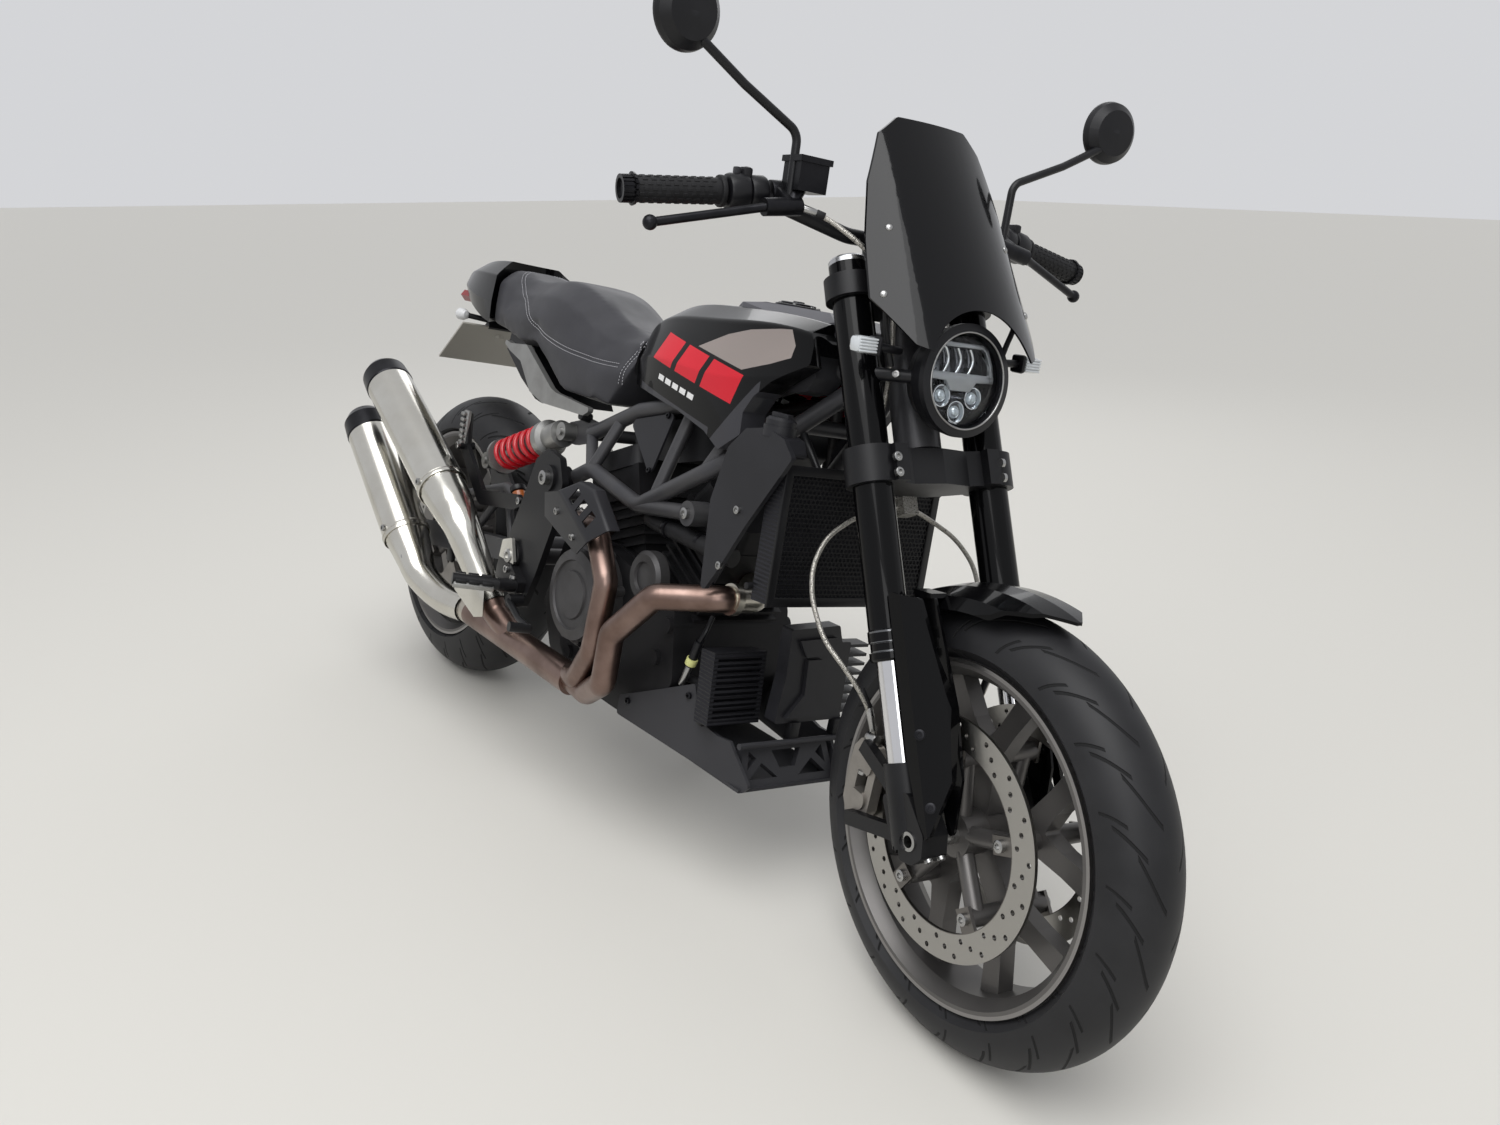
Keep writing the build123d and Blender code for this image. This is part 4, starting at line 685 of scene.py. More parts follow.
def apply_all(piece):
    """Applies every modifier in its order."""
    alone(piece)
    for name in [m.name for m in piece.modifiers]:
        bpy.ops.object.modifier_apply(modifier=name)


def lay(piece, matrix=Matrix.Identity(4)):
    """Moves the piece's place, and a further one, into the mesh."""
    piece.data.transform(matrix @ piece.matrix_world)
    piece.matrix_world = Matrix.Identity(4)


def outwards(piece):
    """Applies the modifiers and turns every face outwards."""
    apply_all(piece)
    with editing():
        bpy.ops.mesh.select_all(action="SELECT")
        bpy.ops.mesh.normals_make_consistent(inside=False)


def merge_points():
    """Merges doubled points of the chosen piece."""
    with editing():
        bpy.ops.mesh.select_all(action="SELECT")
        bpy.ops.mesh.remove_doubles(threshold=MERGE)


def settle(piece, name, material, body="chassis", sharp=35):
    """Lays a shaped piece on the machine, tidies its mesh and lets it ride on its body."""
    apply_all(piece)
    lay(piece, DRAWN_ON[body])
    merge_points()
    outwards(piece)
    bpy.ops.object.shade_smooth_by_angle(angle=radians(sharp))
    piece.name = piece.data.name = name
    piece.data.materials.clear()
    piece.data.materials.append(material)
    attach(piece, body)
    print(name, len(piece.data.polygons), "faces")
    return piece


def copied(piece, places):
    """Copies of a modelled piece at each place, joined into one; the model itself is used up."""
    bpy.ops.object.select_all(action="DESELECT")
    for place in places:
        one = put("copy", piece.data.copy())
        one.data.transform(place)
        one.select_set(True)
        bpy.context.view_layer.objects.active = one
    bpy.ops.object.join()
    bpy.data.objects.remove(piece)
    return bpy.context.object


def mirrored(points):
    """Each point and its twin on the machine's other side."""
    return [p for x, y, z in points for p in ((x, y, z), (x, -y, z))]


def ring_of(count, radius, first=0):
    """Places round a circle, as pairs across and up, from an angle in degrees."""
    angles = [radians(360 * k / count + first) for k in range(count)]
    return [(radius * cos(angle), radius * sin(angle)) for angle in angles]

# %% [markdown]
# Bolts are what makes a machine look assembled. One socket-head bolt is turned from a cylinder: its top
# edge is bevelled, and the socket is an inset pushed down. It is then copied to every place on a list. A
# copy has to sit square on the surface under it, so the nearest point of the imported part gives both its
# seat and its direction.

# %% Bolts
def socket_bolt(radius):
    """A cap-head bolt standing on the origin, with its socket upwards."""
    bolt = start("cylinder", vertices=24, radius=radius, depth=radius * 0.8, location=(0, 0, radius * 0.4))
    with editing():
        sink_top(bolt, (radius * 0.16, radius * 0.1), (radius * 0.32, 0), (0.01 * radius, -radius * 0.5))
    lay(bolt)
    return bolt


def dome_screw(radius):
    """A round-headed screw, as on the fly screen."""
    screw = start("uv_sphere", segments=20, ring_count=12, radius=radius)
    with editing():
        bpy.ops.mesh.select_all(action="SELECT")
        bpy.ops.mesh.bisect(plane_co=(0, 0, 0.1), plane_no=(0, 0, 1), clear_inner=True, use_fill=True)
        bpy.ops.mesh.select_all(action="SELECT")
        bpy.ops.transform.resize(value=(1, 1, 0.6), center_override=(0, 0, 0))
    return screw


def bolt_set(name, surface, radius, material, spots, body="chassis", make=socket_bolt, sink=0.4):
    """Like bolts on one part, each at the nearest point of its surface and square to it."""
    matrix = DRAWN_ON[body]
    back = matrix.inverted()
    places = []
    for spot in spots:
        _, at, normal, _ = surface.closest_point_on_mesh(matrix @ Vector(spot))
        out = (back.to_3x3() @ normal).normalized()
        places.append(pointing(back @ at - out * sink, out))
    return settle(copied(make(radius), places), name, material, body)


clutch_ring = [(692 + x, -154, 374 + z) for x, z in ring_of(8, 88, 20)]
left_ring = [(790 + x, 148, 340 - z) for x, z in ring_of(6, 86)]
disc_ring = [(1525 + x, -71, 300 + z) for x, z in ring_of(5, 105, 20)]
# name, the part that it is on, the head's radius, finish, places, body
BOLTS = [
    ("shroud_screws", "radiator_shrouds", 6, STEEL, mirrored([(1106, -172, 625), (1088, -172, 537)])),
    ("frame_lug_bolts", "frame_trellis", 9, STEEL, mirrored([(956, -151, 585)])),
    ("pivot_bolts", "pivot_plates", 13, STEEL, mirrored([(566, -184, 556), (481, -184, 388)])),
    ("cover_bolts", "engine_covers", 5.5, ANODISED, clutch_ring + left_ring),
    ("infill_screws", "frame_infills", 5, ANODISED,
     mirrored([(705, -104, 686), (796, -101, 716), (794, -122, 622)])),
    ("pan_screws", "belly_pan", 5.5, ANODISED, mirrored([(868, -146, 240), (1010, -150, 300)])),
    ("peg_bolts", "foot_pegs", 7, STEEL,
     mirrored([(490, -194, 364), (522, -194, 350), (194, -184, 545), (462, -174, 490)])),
    ("clamp_bolts", "lower_clamp", 6.5, STEEL, mirrored([(1335, -94, 758), (1344, -94, 739)]), "steering"),
    ("screen_screws", "fly_screen", 5.5, STEEL, mirrored([(1254, -105, 1049), (1295, -128, 963)]),
     "steering", dome_screw),
    ("guard_bolts", "front_mudguard", 7, ANODISED, mirrored([(1503, -120, 435), (1544, -118, 354)]),
     "steering"),
    ("pinch_bolts", "fork_bottoms", 5.5, STEEL, mirrored([(1548, -110, 284), (1550, -91, 286)]),
     "steering"),
    ("lamp_bolts", "headlamp_shell", 5, STEEL, mirrored([(1295, -86, 863)]), "steering"),
    ("caliper_bolts", "front_calipers", 6, STEEL, mirrored([(1400, -93, 420), (1376, -93, 330)]),
     "steering"),
    ("front_disc_bolts", "front_discs", 8, STEEL, mirrored(disc_ring), "front_wheel"),
]
for name, node, *rest in BOLTS:
    bolt_set(name, CAD[node], *rest)

# %% [markdown]
# The shock's spring is one bar of steel wound into a coil. A small circle, stood on its edge at the
# coil's radius, is swept with the Screw modifier, which turns it round the axis and lifts it by the pitch
# each turn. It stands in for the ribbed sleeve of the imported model.

# %% The shock's spring
SHOCK_FOOT, SHOCK_TOP = Vector((205, -110, 520)), Vector((491, -110, 633))
COIL_TURNS, COIL_RADIUS, WIRE_RADIUS = 6, 28.6, 5.2
low, high = 57, (SHOCK_TOP - SHOCK_FOOT).length - 81
coil = start("circle", vertices=14, radius=WIRE_RADIUS, location=(COIL_RADIUS, 0, low + WIRE_RADIUS),
             rotation=(pi / 2, 0, 0))
bpy.ops.object.transform_apply(location=True, rotation=True)
modifier(coil, "SCREW", axis="Z", angle=2 * pi * COIL_TURNS, screw_offset=high - low - 2 * WIRE_RADIUS,
         steps=36 * COIL_TURNS, render_steps=36 * COIL_TURNS)
apply_all(coil)
with editing():
    bpy.ops.mesh.select_all(action="SELECT")
    bpy.ops.mesh.fill_holes(sides=0)
lay(coil, pointing(SHOCK_FOOT, SHOCK_TOP - SHOCK_FOOT))
settle(coil, "spring_coil", SPRING_RED)
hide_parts("shock_spring")

# %% [markdown]
# In front of the radiator sits a pressed steel guard: a flat frame round a field of small hexagonal
# holes. One hexagon is inset and its middle deleted, which leaves a ring. Two Array modifiers lay a
# double row of rings across and up, and where rings meet their edges merge into one web. Solidify then
# gives the sheet its thickness.

# %% The radiator's guard
HEX, COLUMNS, ROWS = 8.0, 36, 13
facing = Vector((cos(radians(3)), 0, sin(radians(3))))
GUARD = axes_at((1186, 0, 606), LEFT, facing.cross(LEFT), facing)
cell = start("circle", vertices=6, radius=HEX / 3 ** 0.5, fill_type="NGON", rotation=(0, 0, pi / 6))
bpy.ops.object.transform_apply(rotation=True)
hollow(cell, 1.0)
with editing():
    bpy.ops.mesh.select_all(action="SELECT")
    bpy.ops.mesh.duplicate_move(TRANSFORM_OT_translate={"value": (HEX / 2, HEX * 0.866, 0)})
for count, step in ((COLUMNS, (HEX, 0, 0)), (ROWS, (0, HEX * 1.732, 0))):
    modifier(cell, "ARRAY", count=count, use_relative_offset=False, use_constant_offset=True,
             constant_offset_displace=step, use_merge_vertices=True, merge_threshold=0.01)
apply_all(cell)
lay(cell, GUARD @ Matrix.Translation((-HEX * (COLUMNS - 0.5) / 2, -HEX * 0.866 * (ROWS - 0.5), 0)))
modifier(cell, "SOLIDIFY", thickness=1.2, offset=0)
settle(cell, "guard_mesh", POWDER_BLACK)
edge = start("plane", size=1)
lay(edge, Matrix.Diagonal((322, 204, 1, 1)))
hollow(edge, 14)
modifier(edge, "SOLIDIFY", thickness=4.8, offset=0)
soften(edge, 1.2)
lay(edge, GUARD)
settle(edge, "guard_frame", POWDER_BLACK)
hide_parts("radiator_guard")

# %% [markdown]
# The seat is foam under vinyl leatherette, sewn from a top panel and two sides. Its foam shape comes from
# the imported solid: a copy is merged, rebuilt in even small squares by the Remesh modifier and blown up
# gently as cloth, so that it crowns and pulls in at its edges as a stuffed cover does. The sewing follows
# after, because remeshing would wipe it out: the cover is drawn down along the seam, and two rows of
# thread run beside it.

# %% The seat's cover
LEATHERETTE = finish("vinyl_leatherette", "#343438", 0.0, 0.5, {"Sheen Weight": 0.05})
grain(patches(LEATHERETTE, "#2a2a2e", 60), 1.5, 0.25, 0.6)
THREAD = grain(finish("grey_thread", "#a8a8ac", 0.0, 0.7), 0.8, 0.1)
MOST_SWELL = 0.006

seat = put("seat_cushion", CAD["seat"].data.copy())
alone(seat)
merge_points()
seat.data.transform(TO_DRAWING)
# The foam starts 3 mm small, so the cover has room to swell
modifier(seat, "REMESH", mode="VOXEL", voxel_size=6.0)
modifier(seat, "SMOOTH", factor=0.6, iterations=8)
modifier(seat, "DISPLACE", strength=-3.0, mid_level=0.0)
apply_all(seat)
seat.data.transform(BIKE)
before = [v.co.copy() for v in seat.data.vertices]
cloth = modifier(seat, "CLOTH").settings
cloth.quality = 5
cloth.use_pressure = True
cloth.uniform_pressure_force = 4
cloth.effector_weights.gravity = 0
cloth.tension_stiffness = cloth.compression_stiffness = 40
cloth.bending_stiffness = 20
for frame_number in range(1, 21):
    scene.frame_set(frame_number)
apply_all(seat)
scene.frame_set(1)
for vertex, old in zip(seat.data.vertices, before):
    moved = vertex.co - old
    if moved.length > MOST_SWELL:
        vertex.co = old + moved.normalized() * MOST_SWELL
print("cover", len(seat.data.vertices), "points")

# %% [markdown]
# The seam's line was read off the photograph on the right side and is mirrored to the left: it sweeps
# round the back of the top panel and runs down each flank to the tank. It is given as a few points on the
# side view and pressed onto the cover, so it follows the foam's swell. Each row of thread is a chain of
# short stitches.

# %% Seams and stitches
# x, side, height of the right side's seam, from the middle of the back round to the tank
SEAM = [(92, 0, 904), (104, -30, 902), (150, -68, 892), (200, -92, 872), (245, -106, 848), (300, -114, 814),
        (353, -116, 797), (429, -116, 784), (498, -111, 778), (555, -106, 776), (612, -100, 777)]
FRONT_SEAM = [(646, -60, 838), (647, -85, 812), (634, -95, 786), (628, -99, 770), (622, -96, 745)]
FOLD_WIDTH, FOLD_DEPTH = 0.012, 0.0022
THREAD_ROW, STITCH_STEP = 3.6, 6.0


def smooth_line(points, steps):
    """Points along a smooth curve through a few given ones."""
    line = []
    for index in range(len(points) - 1):
        a, b = Vector(points[max(index - 1, 0)]), Vector(points[index])
        c, d = Vector(points[index + 1]), Vector(points[min(index + 2, len(points) - 1)])
        for step in range(steps):
            t = step / steps
            line.append(0.5 * ((2 * b) + (c - a) * t + (2 * a - 5 * b + 4 * c - d) * t ** 2
                               + (3 * b - a - 3 * c + d) * t ** 3))
    return line + [Vector(points[-1])]


def other_side(line):
    return [Vector((p.x, -p.y, p.z)) for p in line]


right_side = smooth_line(SEAM, 16)
front_right = smooth_line(FRONT_SEAM, 10)
seams = [other_side(right_side[::-1]) + right_side[1:], front_right, other_side(front_right)]
laid = [[seat.closest_point_on_mesh(BIKE @ p)[1:3] for p in line] for line in seams]
sewn = [at for line in laid for at, _ in line]
lookup = kdtree.KDTree(len(sewn))
for number, at in enumerate(sewn):
    lookup.insert(at, number)
lookup.balance()
for vertex in seat.data.vertices:
    distance = lookup.find(vertex.co)[2]
    if distance < FOLD_WIDTH:
        vertex.co -= vertex.normal * FOLD_DEPTH * (1 - distance / FOLD_WIDTH) ** 2
modifier(seat, "SUBSURF", levels=1, render_levels=1)
apply_all(seat)
seat.data.transform(TO_DRAWING)
settle(seat, "seat_cushion", LEATHERETTE, sharp=80)
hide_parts("seat")

places = []
for line in laid:
    points = [TO_DRAWING @ at for at, _ in line]
    normals = [(TO_DRAWING.to_3x3() @ normal).normalized() for _, normal in line]
    travelled = 0.0
    for a, b, normal in zip(points, points[1:], normals):
        run = b - a
        along = run.normalized()
        aside = along.cross(normal).normalized()
        while travelled < run.length:
            for shift in (-THREAD_ROW, THREAD_ROW):
                at = a + along * travelled + aside * shift - normal * 0.3
                places.append(axes_at(at, along, aside, along.cross(aside)))
            travelled += STITCH_STEP
        travelled -= run.length
stitch = start("uv_sphere", segments=8, ring_count=5, radius=1)
stitch.data.transform(Matrix.Diagonal((2.2, 0.75, 0.75, 1)))
settle(copied(stitch, places), "seat_stitches", THREAD, sharp=80)

# %% [markdown]
# More hands for modelling: a round bar between two places, a block with softened edges, a tube along a
# few points and a flat plate with its own outline. Several of them joined make one piece.

# %% Bars, blocks, tubes and plates
SQUARE = ((1, 0, 0), (0, 1, 0), (0, 0, 1))


def bar(a, b, radius, soft=0.6, sides=24):
    """A round bar between two places, with its end edges broken."""
    a, b = Vector(a), Vector(b)
    piece = start("cylinder", vertices=sides, radius=radius, depth=(b - a).length)
    piece.matrix_world = pointing((a + b) / 2, b - a)
    soften(piece, soft, 50)
    return piece


def block(size, at, soft=2, axes=SQUARE):
    """A block of a given size about a place, with its edges rounded."""
    piece = start("cube", size=1)
    piece.matrix_world = axes_at(at, *axes) @ Matrix.Diagonal((*size, 1))
    bpy.ops.object.transform_apply(location=False, rotation=False, scale=True)
    soften(piece, soft, 40)
    return piece


def tube(points, radius, sides=3, shares=None):
    """A smooth tube through a few points, with a share of the radius for each where they are given."""
    path = bpy.data.curves.new("path", "CURVE")
    path.dimensions = "3D"
    path.bevel_depth = radius
    path.bevel_resolution = sides
    path.use_fill_caps = shares is None
    run = path.splines.new("POLY")
    line = smooth_line(points, 8)
    run.points.add(len(line) - 1)
    for spot, place in zip(run.points, line):
        spot.co = (*place, 1)
    for number, (a, b) in enumerate(zip(shares or [], (shares or [])[1:])):
        for step in range(9):
            run.points[8 * number + step].radius = a + (b - a) * step / 8
    alone(put("tube", path))
    bpy.ops.object.convert(target="MESH")
    return bpy.context.object


def outlined(points):
    """A flat face: a filled circle with one point for each corner, dragged to its place."""
    piece = start("circle", vertices=len(points), fill_type="NGON")
    for vertex, place in zip(piece.data.vertices, points):
        vertex.co = (*place, 0)[:3]
    return piece


def plate(outline, matrix, thick, soft=0.5):
    """A flat plate with its own outline."""
    piece = outlined(outline)
    piece.matrix_world = matrix
    modifier(piece, "SOLIDIFY", thickness=thick, offset=0)
    soften(piece, soft, 40)
    return piece


def joined(*pieces):
    """Several shapes made into one."""
    for piece in pieces:
        apply_all(piece)
        lay(piece)
    bpy.context.view_layer.update()
    for piece in pieces:
        piece.select_set(True)
    bpy.context.view_layer.objects.active = pieces[0]
    if len(pieces) > 1:
        bpy.ops.object.join()
    return pieces[0]


def twin(*pieces):
    """The shapes made into one with their mirror image on the machine's other side."""
    piece = joined(*pieces)
    other = put("twin", piece.data.copy())
    other.data.transform(Matrix.Diagonal((1, -1, 1, 1)))
    other.data.flip_normals()
    return joined(piece, other)


def side_plane(y):
    """A plane across y, with x forward and z up, facing the machine's right."""
    return Matrix.Translation((0, y, 0)) @ Matrix.Rotation(pi / 2, 4, "X")

# %% [markdown]
# The hands' end of the machine. A grip is moulded rubber with brick rows of small raised blocks, and its
# end weight is turned from bar with grooves along it. The switch housing is a rounded plastic barrel in
# two halves, with a kill switch on top. A mirror is a flat glass set into its shell.

# %% Grips, switches and mirrors
BAR_ROOT, BAR_END = Vector((1112, -235, 1072)), Vector((1092, -415, 1047))
ON_BAR = pointing(BAR_ROOT, (BAR_END - BAR_ROOT).normalized())
BRICK_ROWS, WEIGHT_SIDES = 16, 36


def on_bar(z, y=0):
    """A place so far out along the handlebar's end."""
    return ON_BAR @ Vector((0, y, z))


brick = start("cube", size=1)
brick.data.transform(Matrix.Diagonal((1.6, 4.2, 7.0, 1)))
modifier(brick, "BEVEL", width=0.5, segments=1)
apply_all(brick)
places = [ON_BAR @ Matrix.Rotation(2 * pi * row / BRICK_ROWS, 4, "Z")
          @ Matrix.Translation((17.1, 0, 62 + 12 * count + 6 * (row % 2)))
          for row in range(BRICK_ROWS) for count in range(9)]
collars = [bar(on_bar(44), on_bar(51), 21, 1.5), bar(on_bar(169), on_bar(172), 17.8, 1.5)]
settle(twin(copied(brick, places), *collars), "grip_blocks", GRIP_RUBBER, "steering")

weight = start("cylinder", vertices=WEIGHT_SIDES, radius=18, depth=15)
weight.matrix_world = ON_BAR @ Matrix.Translation((0, 0, 181))
with editing():
    pick(weight, lambda at, normal: abs(normal.z) < 0.1
         and int((pi + atan2(at.y, at.x)) / (2 * pi) * WEIGHT_SIDES) % 2 == 0)
    bpy.ops.mesh.inset(thickness=0.4, depth=-1.4, use_individual=True)
    sink_top(weight, (5, 0), (0.2, -4))
settle(twin(weight), "bar_ends", ANODISED, "steering")

housings = twin(bar(on_bar(-18), on_bar(8), 22, 5, 32), bar(on_bar(9), on_bar(40), 24, 5, 32),
                block((22, 14, 24), on_bar(12, 20), 4))
settle(housings, "switch_housings", SOFT_BLACK, "steering")
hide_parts("switchgear")
SWITCH = finish("switch_plastic", "#2b2b2f", 0.0, 0.35)
settle(block((10, 8, 14), on_bar(24, 25)), "kill_switch", SWITCH, "steering")

MIRROR = finish("mirror_glass", "#dfe3e6", 1.0, 0.02)
glass = start("cylinder", vertices=64, radius=43.5, depth=1.2)
head_axis = Vector((-1, -0.12, 0.05)).normalized()
glass.matrix_world = pointing(Vector((1150, -380, 1262)) + head_axis * 12.3, head_axis)
settle(twin(glass), "mirror_glasses", MIRROR, "steering")

# %% [markdown]
# The lamp is set out on its own axis, tipped six degrees up. Behind the lens a pressed frame closes off
# the main beam, with three curved fins in it; below sit three projector lenses in chromed cups. The frame
# starts as a filled outline, inset to leave a rim, and its middle is deleted before it gets its
# thickness.

# %% Inside the headlamp
lamp_axis = Vector((cos(radians(6)), 0, sin(radians(6))))
IN_LAMP = axes_at((1337, 0, 866), LEFT, lamp_axis.cross(LEFT), lamp_axis)
LAMP_SILVER = finish("satin_lamp_frame", "#a9abae", 0.6, 0.35)
LAMP_CHROME = grain(finish("chromed_lamp_cup", "#e2e4e6", 1.0, 0.08), 5, 0.5, 0.6, FORK)
LAMP_GLASS = finish("projector_glass", "#c9d2d8", 0.4, 0.05, {"Coat Weight": 1.0})
RIM = [(-57, 4), (-54, 24), (-44, 44), (-34, 50), (34, 50), (44, 44), (54, 24), (57, 4)]
CROSSBAR = [(-57, 9), (-24, 9), (-15, 6), (15, 6), (24, 9), (57, 9), (57, 0), (27, -1), (17, -14),
            (-17, -14), (-27, -1), (-57, 0)]


def in_lamp(across, up, ahead):
    """A place in the lamp, on its own axis."""
    return IN_LAMP @ Matrix.Translation((across, up, ahead))


beam = outlined(RIM)
hollow(beam, 6)
modifier(beam, "SOLIDIFY", thickness=6, offset=0)
soften(beam, 1.2)
beam.matrix_world = in_lamp(0, 0, -12)
settle(joined(beam, plate(CROSSBAR, in_lamp(0, 0, -11), 6, 1.2)), "lamp_frame", LAMP_SILVER, "steering")

fins = [tube([IN_LAMP @ Vector((across + 7 * sin(pi * t / 6), 10 + 5.6 * t, -20)) for t in range(7)], 2.2)
        for across in (-24, -2, 20)]
settle(joined(*fins), "lamp_fins", LAMP_CHROME, "steering", 60)
cups, eyes = [], []
for across, up in ((-28, -22), (28, -22), (0, -42)):
    cup = start("cylinder", vertices=32, radius=15, depth=14)
    cup.matrix_world = in_lamp(across, up, -20)
    with editing():
        sink_top(cup, (1.5, 0), (4, -9))
    cups.append(cup)
    eye = start("uv_sphere", segments=24, ring_count=12, radius=9)
    eye.matrix_world = in_lamp(across, up, -19)
    eyes.append(eye)
settle(joined(*cups), "lamp_cups", LAMP_CHROME, "steering")
settle(joined(*eyes), "lamp_eyes", LAMP_GLASS, "steering", 60)
bezel = start("torus", major_radius=64.5, minor_radius=1.4, major_segments=72, minor_segments=8)
bezel.matrix_world = in_lamp(0, 0, 5)
settle(bezel, "lamp_bezel", STEEL, "steering", 60)

# %% [markdown]
# Each front indicator is a clear fluted lens, a flat oblong that points sideways, on a black stalk. The
# flutes are fine ridges along its front, so they are modelled as a row of thin half-round bars let into
# the lens.

# %% Front indicators
LENS_CLEAR = finish("fluted_clear_lens", "#c4c8cb", 0.15, 0.12, {"Coat Weight": 1.0})
flutes = [bar((1308, -162, 888 + 4 * row), (1308, -134, 888 + 4 * row), 1.6, 0.4, 12) for row in range(5)]
lenses = twin(block((22, 34, 22), (1297, -148, 896), 6), *flutes)
settle(lenses, "indicator_lenses", LENS_CLEAR, "steering")
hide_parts("front_indicators")
stalks = twin(bar((1294, -84, 893), (1297, -132, 896), 5.5, 1), block((26, 8, 26), (1297, -130, 896), 5))
settle(stalks, "indicator_stalks", SOFT_BLACK, "steering")

# %% [markdown]
# Where the boots go. The rider's peg is a broad alloy casting with three rubber pads, lugged for grip,
# let into its top; the passenger's peg is folded up and shows its row of cast teeth. A polished heel
# plate keeps the boot off the exhaust, and the rear brake's little amber reservoir sits ahead of the
# shock.

# %% Pegs, heel plate and reservoir
PEG_ROOT, PEG_TIP, PEG_TIP_BACK = Vector((515, -226, 343)), Vector((490, -300, 345)), 0.35
out = (PEG_TIP - PEG_ROOT).normalized()
flat = out.cross(Vector((0, 0, 1))).normalized()
rise = flat.cross(out).normalized()
# The peg's top is tipped a little about its length, as it sits on its hanger
along_peg = flat * cos(PEG_TIP_BACK) + rise * sin(PEG_TIP_BACK)
rise = rise * cos(PEG_TIP_BACK) - flat * sin(PEG_TIP_BACK)
on_peg = (PEG_ROOT + PEG_TIP) / 2
axes = (along_peg, out, rise)
castings = twin(block((36, 74, 9), on_peg - rise * 3, 3, axes),
                block((26, 76, 9), on_peg - rise * 8, 3, axes))
settle(castings, "peg_castings", ALLOY)
pads = [block((9, 20, 7), on_peg + out * shift + along_peg * lug + rise * 4, 2, axes)
        for shift in (-24, 0, 24) for lug in (-11, 0, 11)]
settle(twin(*pads), "peg_rubbers", GRIP_RUBBER)
teeth = [block((15, 9, 7), (193 - 0.6 * at, -178, 552 + 11.5 * at)) for at in range(6)]
settle(twin(block((20, 9, 70), (191, -171, 582), 3), *teeth), "passenger_pegs", ALLOY)

HEEL = [(340, 296), (452, 322), (474, 318), (482, 268), (448, 257), (352, 284)]
settle(plate(HEEL, side_plane(-224), 2.4), "heel_plate", STAINLESS)
AMBER = finish("amber_reservoir", "#8a4a22", 0.0, 0.25, {"Coat Weight": 0.5})
settle(bar((428, -148, 470), (408, -148, 496), 13, 1.5), "rear_reservoir", AMBER)
caps = joined(bar((407, -148, 497), (400, -148, 506), 15, 2),
              bar((431, -148, 466), (428, -148, 471), 14.5, 2))
settle(caps, "reservoir_caps", SOFT_BLACK)

# %% [markdown]
# The cans are held by a stainless strap with its bolt, and the oxygen sensor sits in the collector with a
# pale ceramic band. A thick rubber hose carries the coolant from the cylinders to the radiator, held by
# black clips.

# %% Straps, sensor and coolant hose
# where each can starts and ends
CANS = [((49, -205, 317), (-225, -225, 528)), ((230, -222, 462), (-128, -232, 643))]
for number, (base, tip) in enumerate(CANS):
    line = (Vector(tip) - Vector(base)).normalized()
    for low, high, thick, name in ((-6, 9, 50.4, "strap"), (3, 5, 51.2, "seam")):
        ringed = start("cylinder", vertices=64, radius=thick, depth=high - low, end_fill_type="NOTHING")
        ringed.matrix_world = pointing(Vector(base) + line * (low + high) / 2, line)
        modifier(ringed, "SOLIDIFY", thickness=1.6, offset=-1)
        soften(ringed, 0.4)
        settle(ringed, f"can_{name}_{number + 1}", STAINLESS)
bolt_set("can_bolts", CAD["silencers"], 7, STEEL, [(228, -282, 470), (128, -262, 292), (44, -262, 330)])
CERAMIC = finish("pale_ceramic", "#cfd08a", 0.0, 0.45)
settle(bar((972, -112, 306), (985, -112, 345), 6, 1), "sensor_tip", STEEL)
settle(bar((984, -112, 342), (999, -112, 388), 7.5, 1), "sensor_sleeve", SOFT_BLACK)
settle(bar((985, -112, 345), (989, -112, 357), 9.5, 1), "sensor_band", CERAMIC)
settle(tube([(999, -112, 388), (1004, -108, 405), (1000, -96, 430)], 4), "sensor_wire", SOFT_BLACK)
coolant = tube([(800, -104, 541), (845, -112, 541), (930, -118, 541), (990, -118, 539), (1040, -108, 535)],
               15, 6)
settle(coolant, "coolant_hose", GRIP_RUBBER, sharp=60)
clips = [bar((at, -117, 541), (at + 9, -117.5, 541), 16.6, 0.8, 32) for at in (868, 962)]
settle(joined(*clips), "hose_clips", ANODISED)

# %% [markdown]
# The cans' feet are wide elbows of bright steel that taper into the pipe. Each is one tube whose width
# shrinks along its way. The shield over the rear pipe is folded from sheet: a ridge joins two opposite
# corners of its outline, the upper edges are turned in towards the pipe, the folds are rounded, and three
# windows are cut through the upper face.

# %% Elbows and heat shield
upper = tube([(230, -222, 462), (290, -220, 432), (334, -217, 404), (384, -198, 337), (428, -182, 282)],
             1.0, 6, [48, 42, 36, 31, 27])
lower = tube([(49, -205, 317), (96, -202, 282), (140, -198, 250), (220, -182, 226), (300, -168, 228)],
             1.0, 6, [48, 40, 34, 30, 28.5])
settle(joined(upper, lower), "can_elbows", STAINLESS, sharp=60)


def corners(piece, numbers):
    """In edit mode, selects only the corners with these numbers, and the edges between them."""
    bpy.ops.mesh.select_mode(type="VERT")
    bpy.ops.mesh.select_all(action="DESELECT")
    shape = bmesh.from_edit_mesh(piece.data)
    for vertex in shape.verts:
        vertex.select_set(vertex.index in numbers)
    shape.select_flush(True)
    bmesh.update_edit_mesh(piece.data)


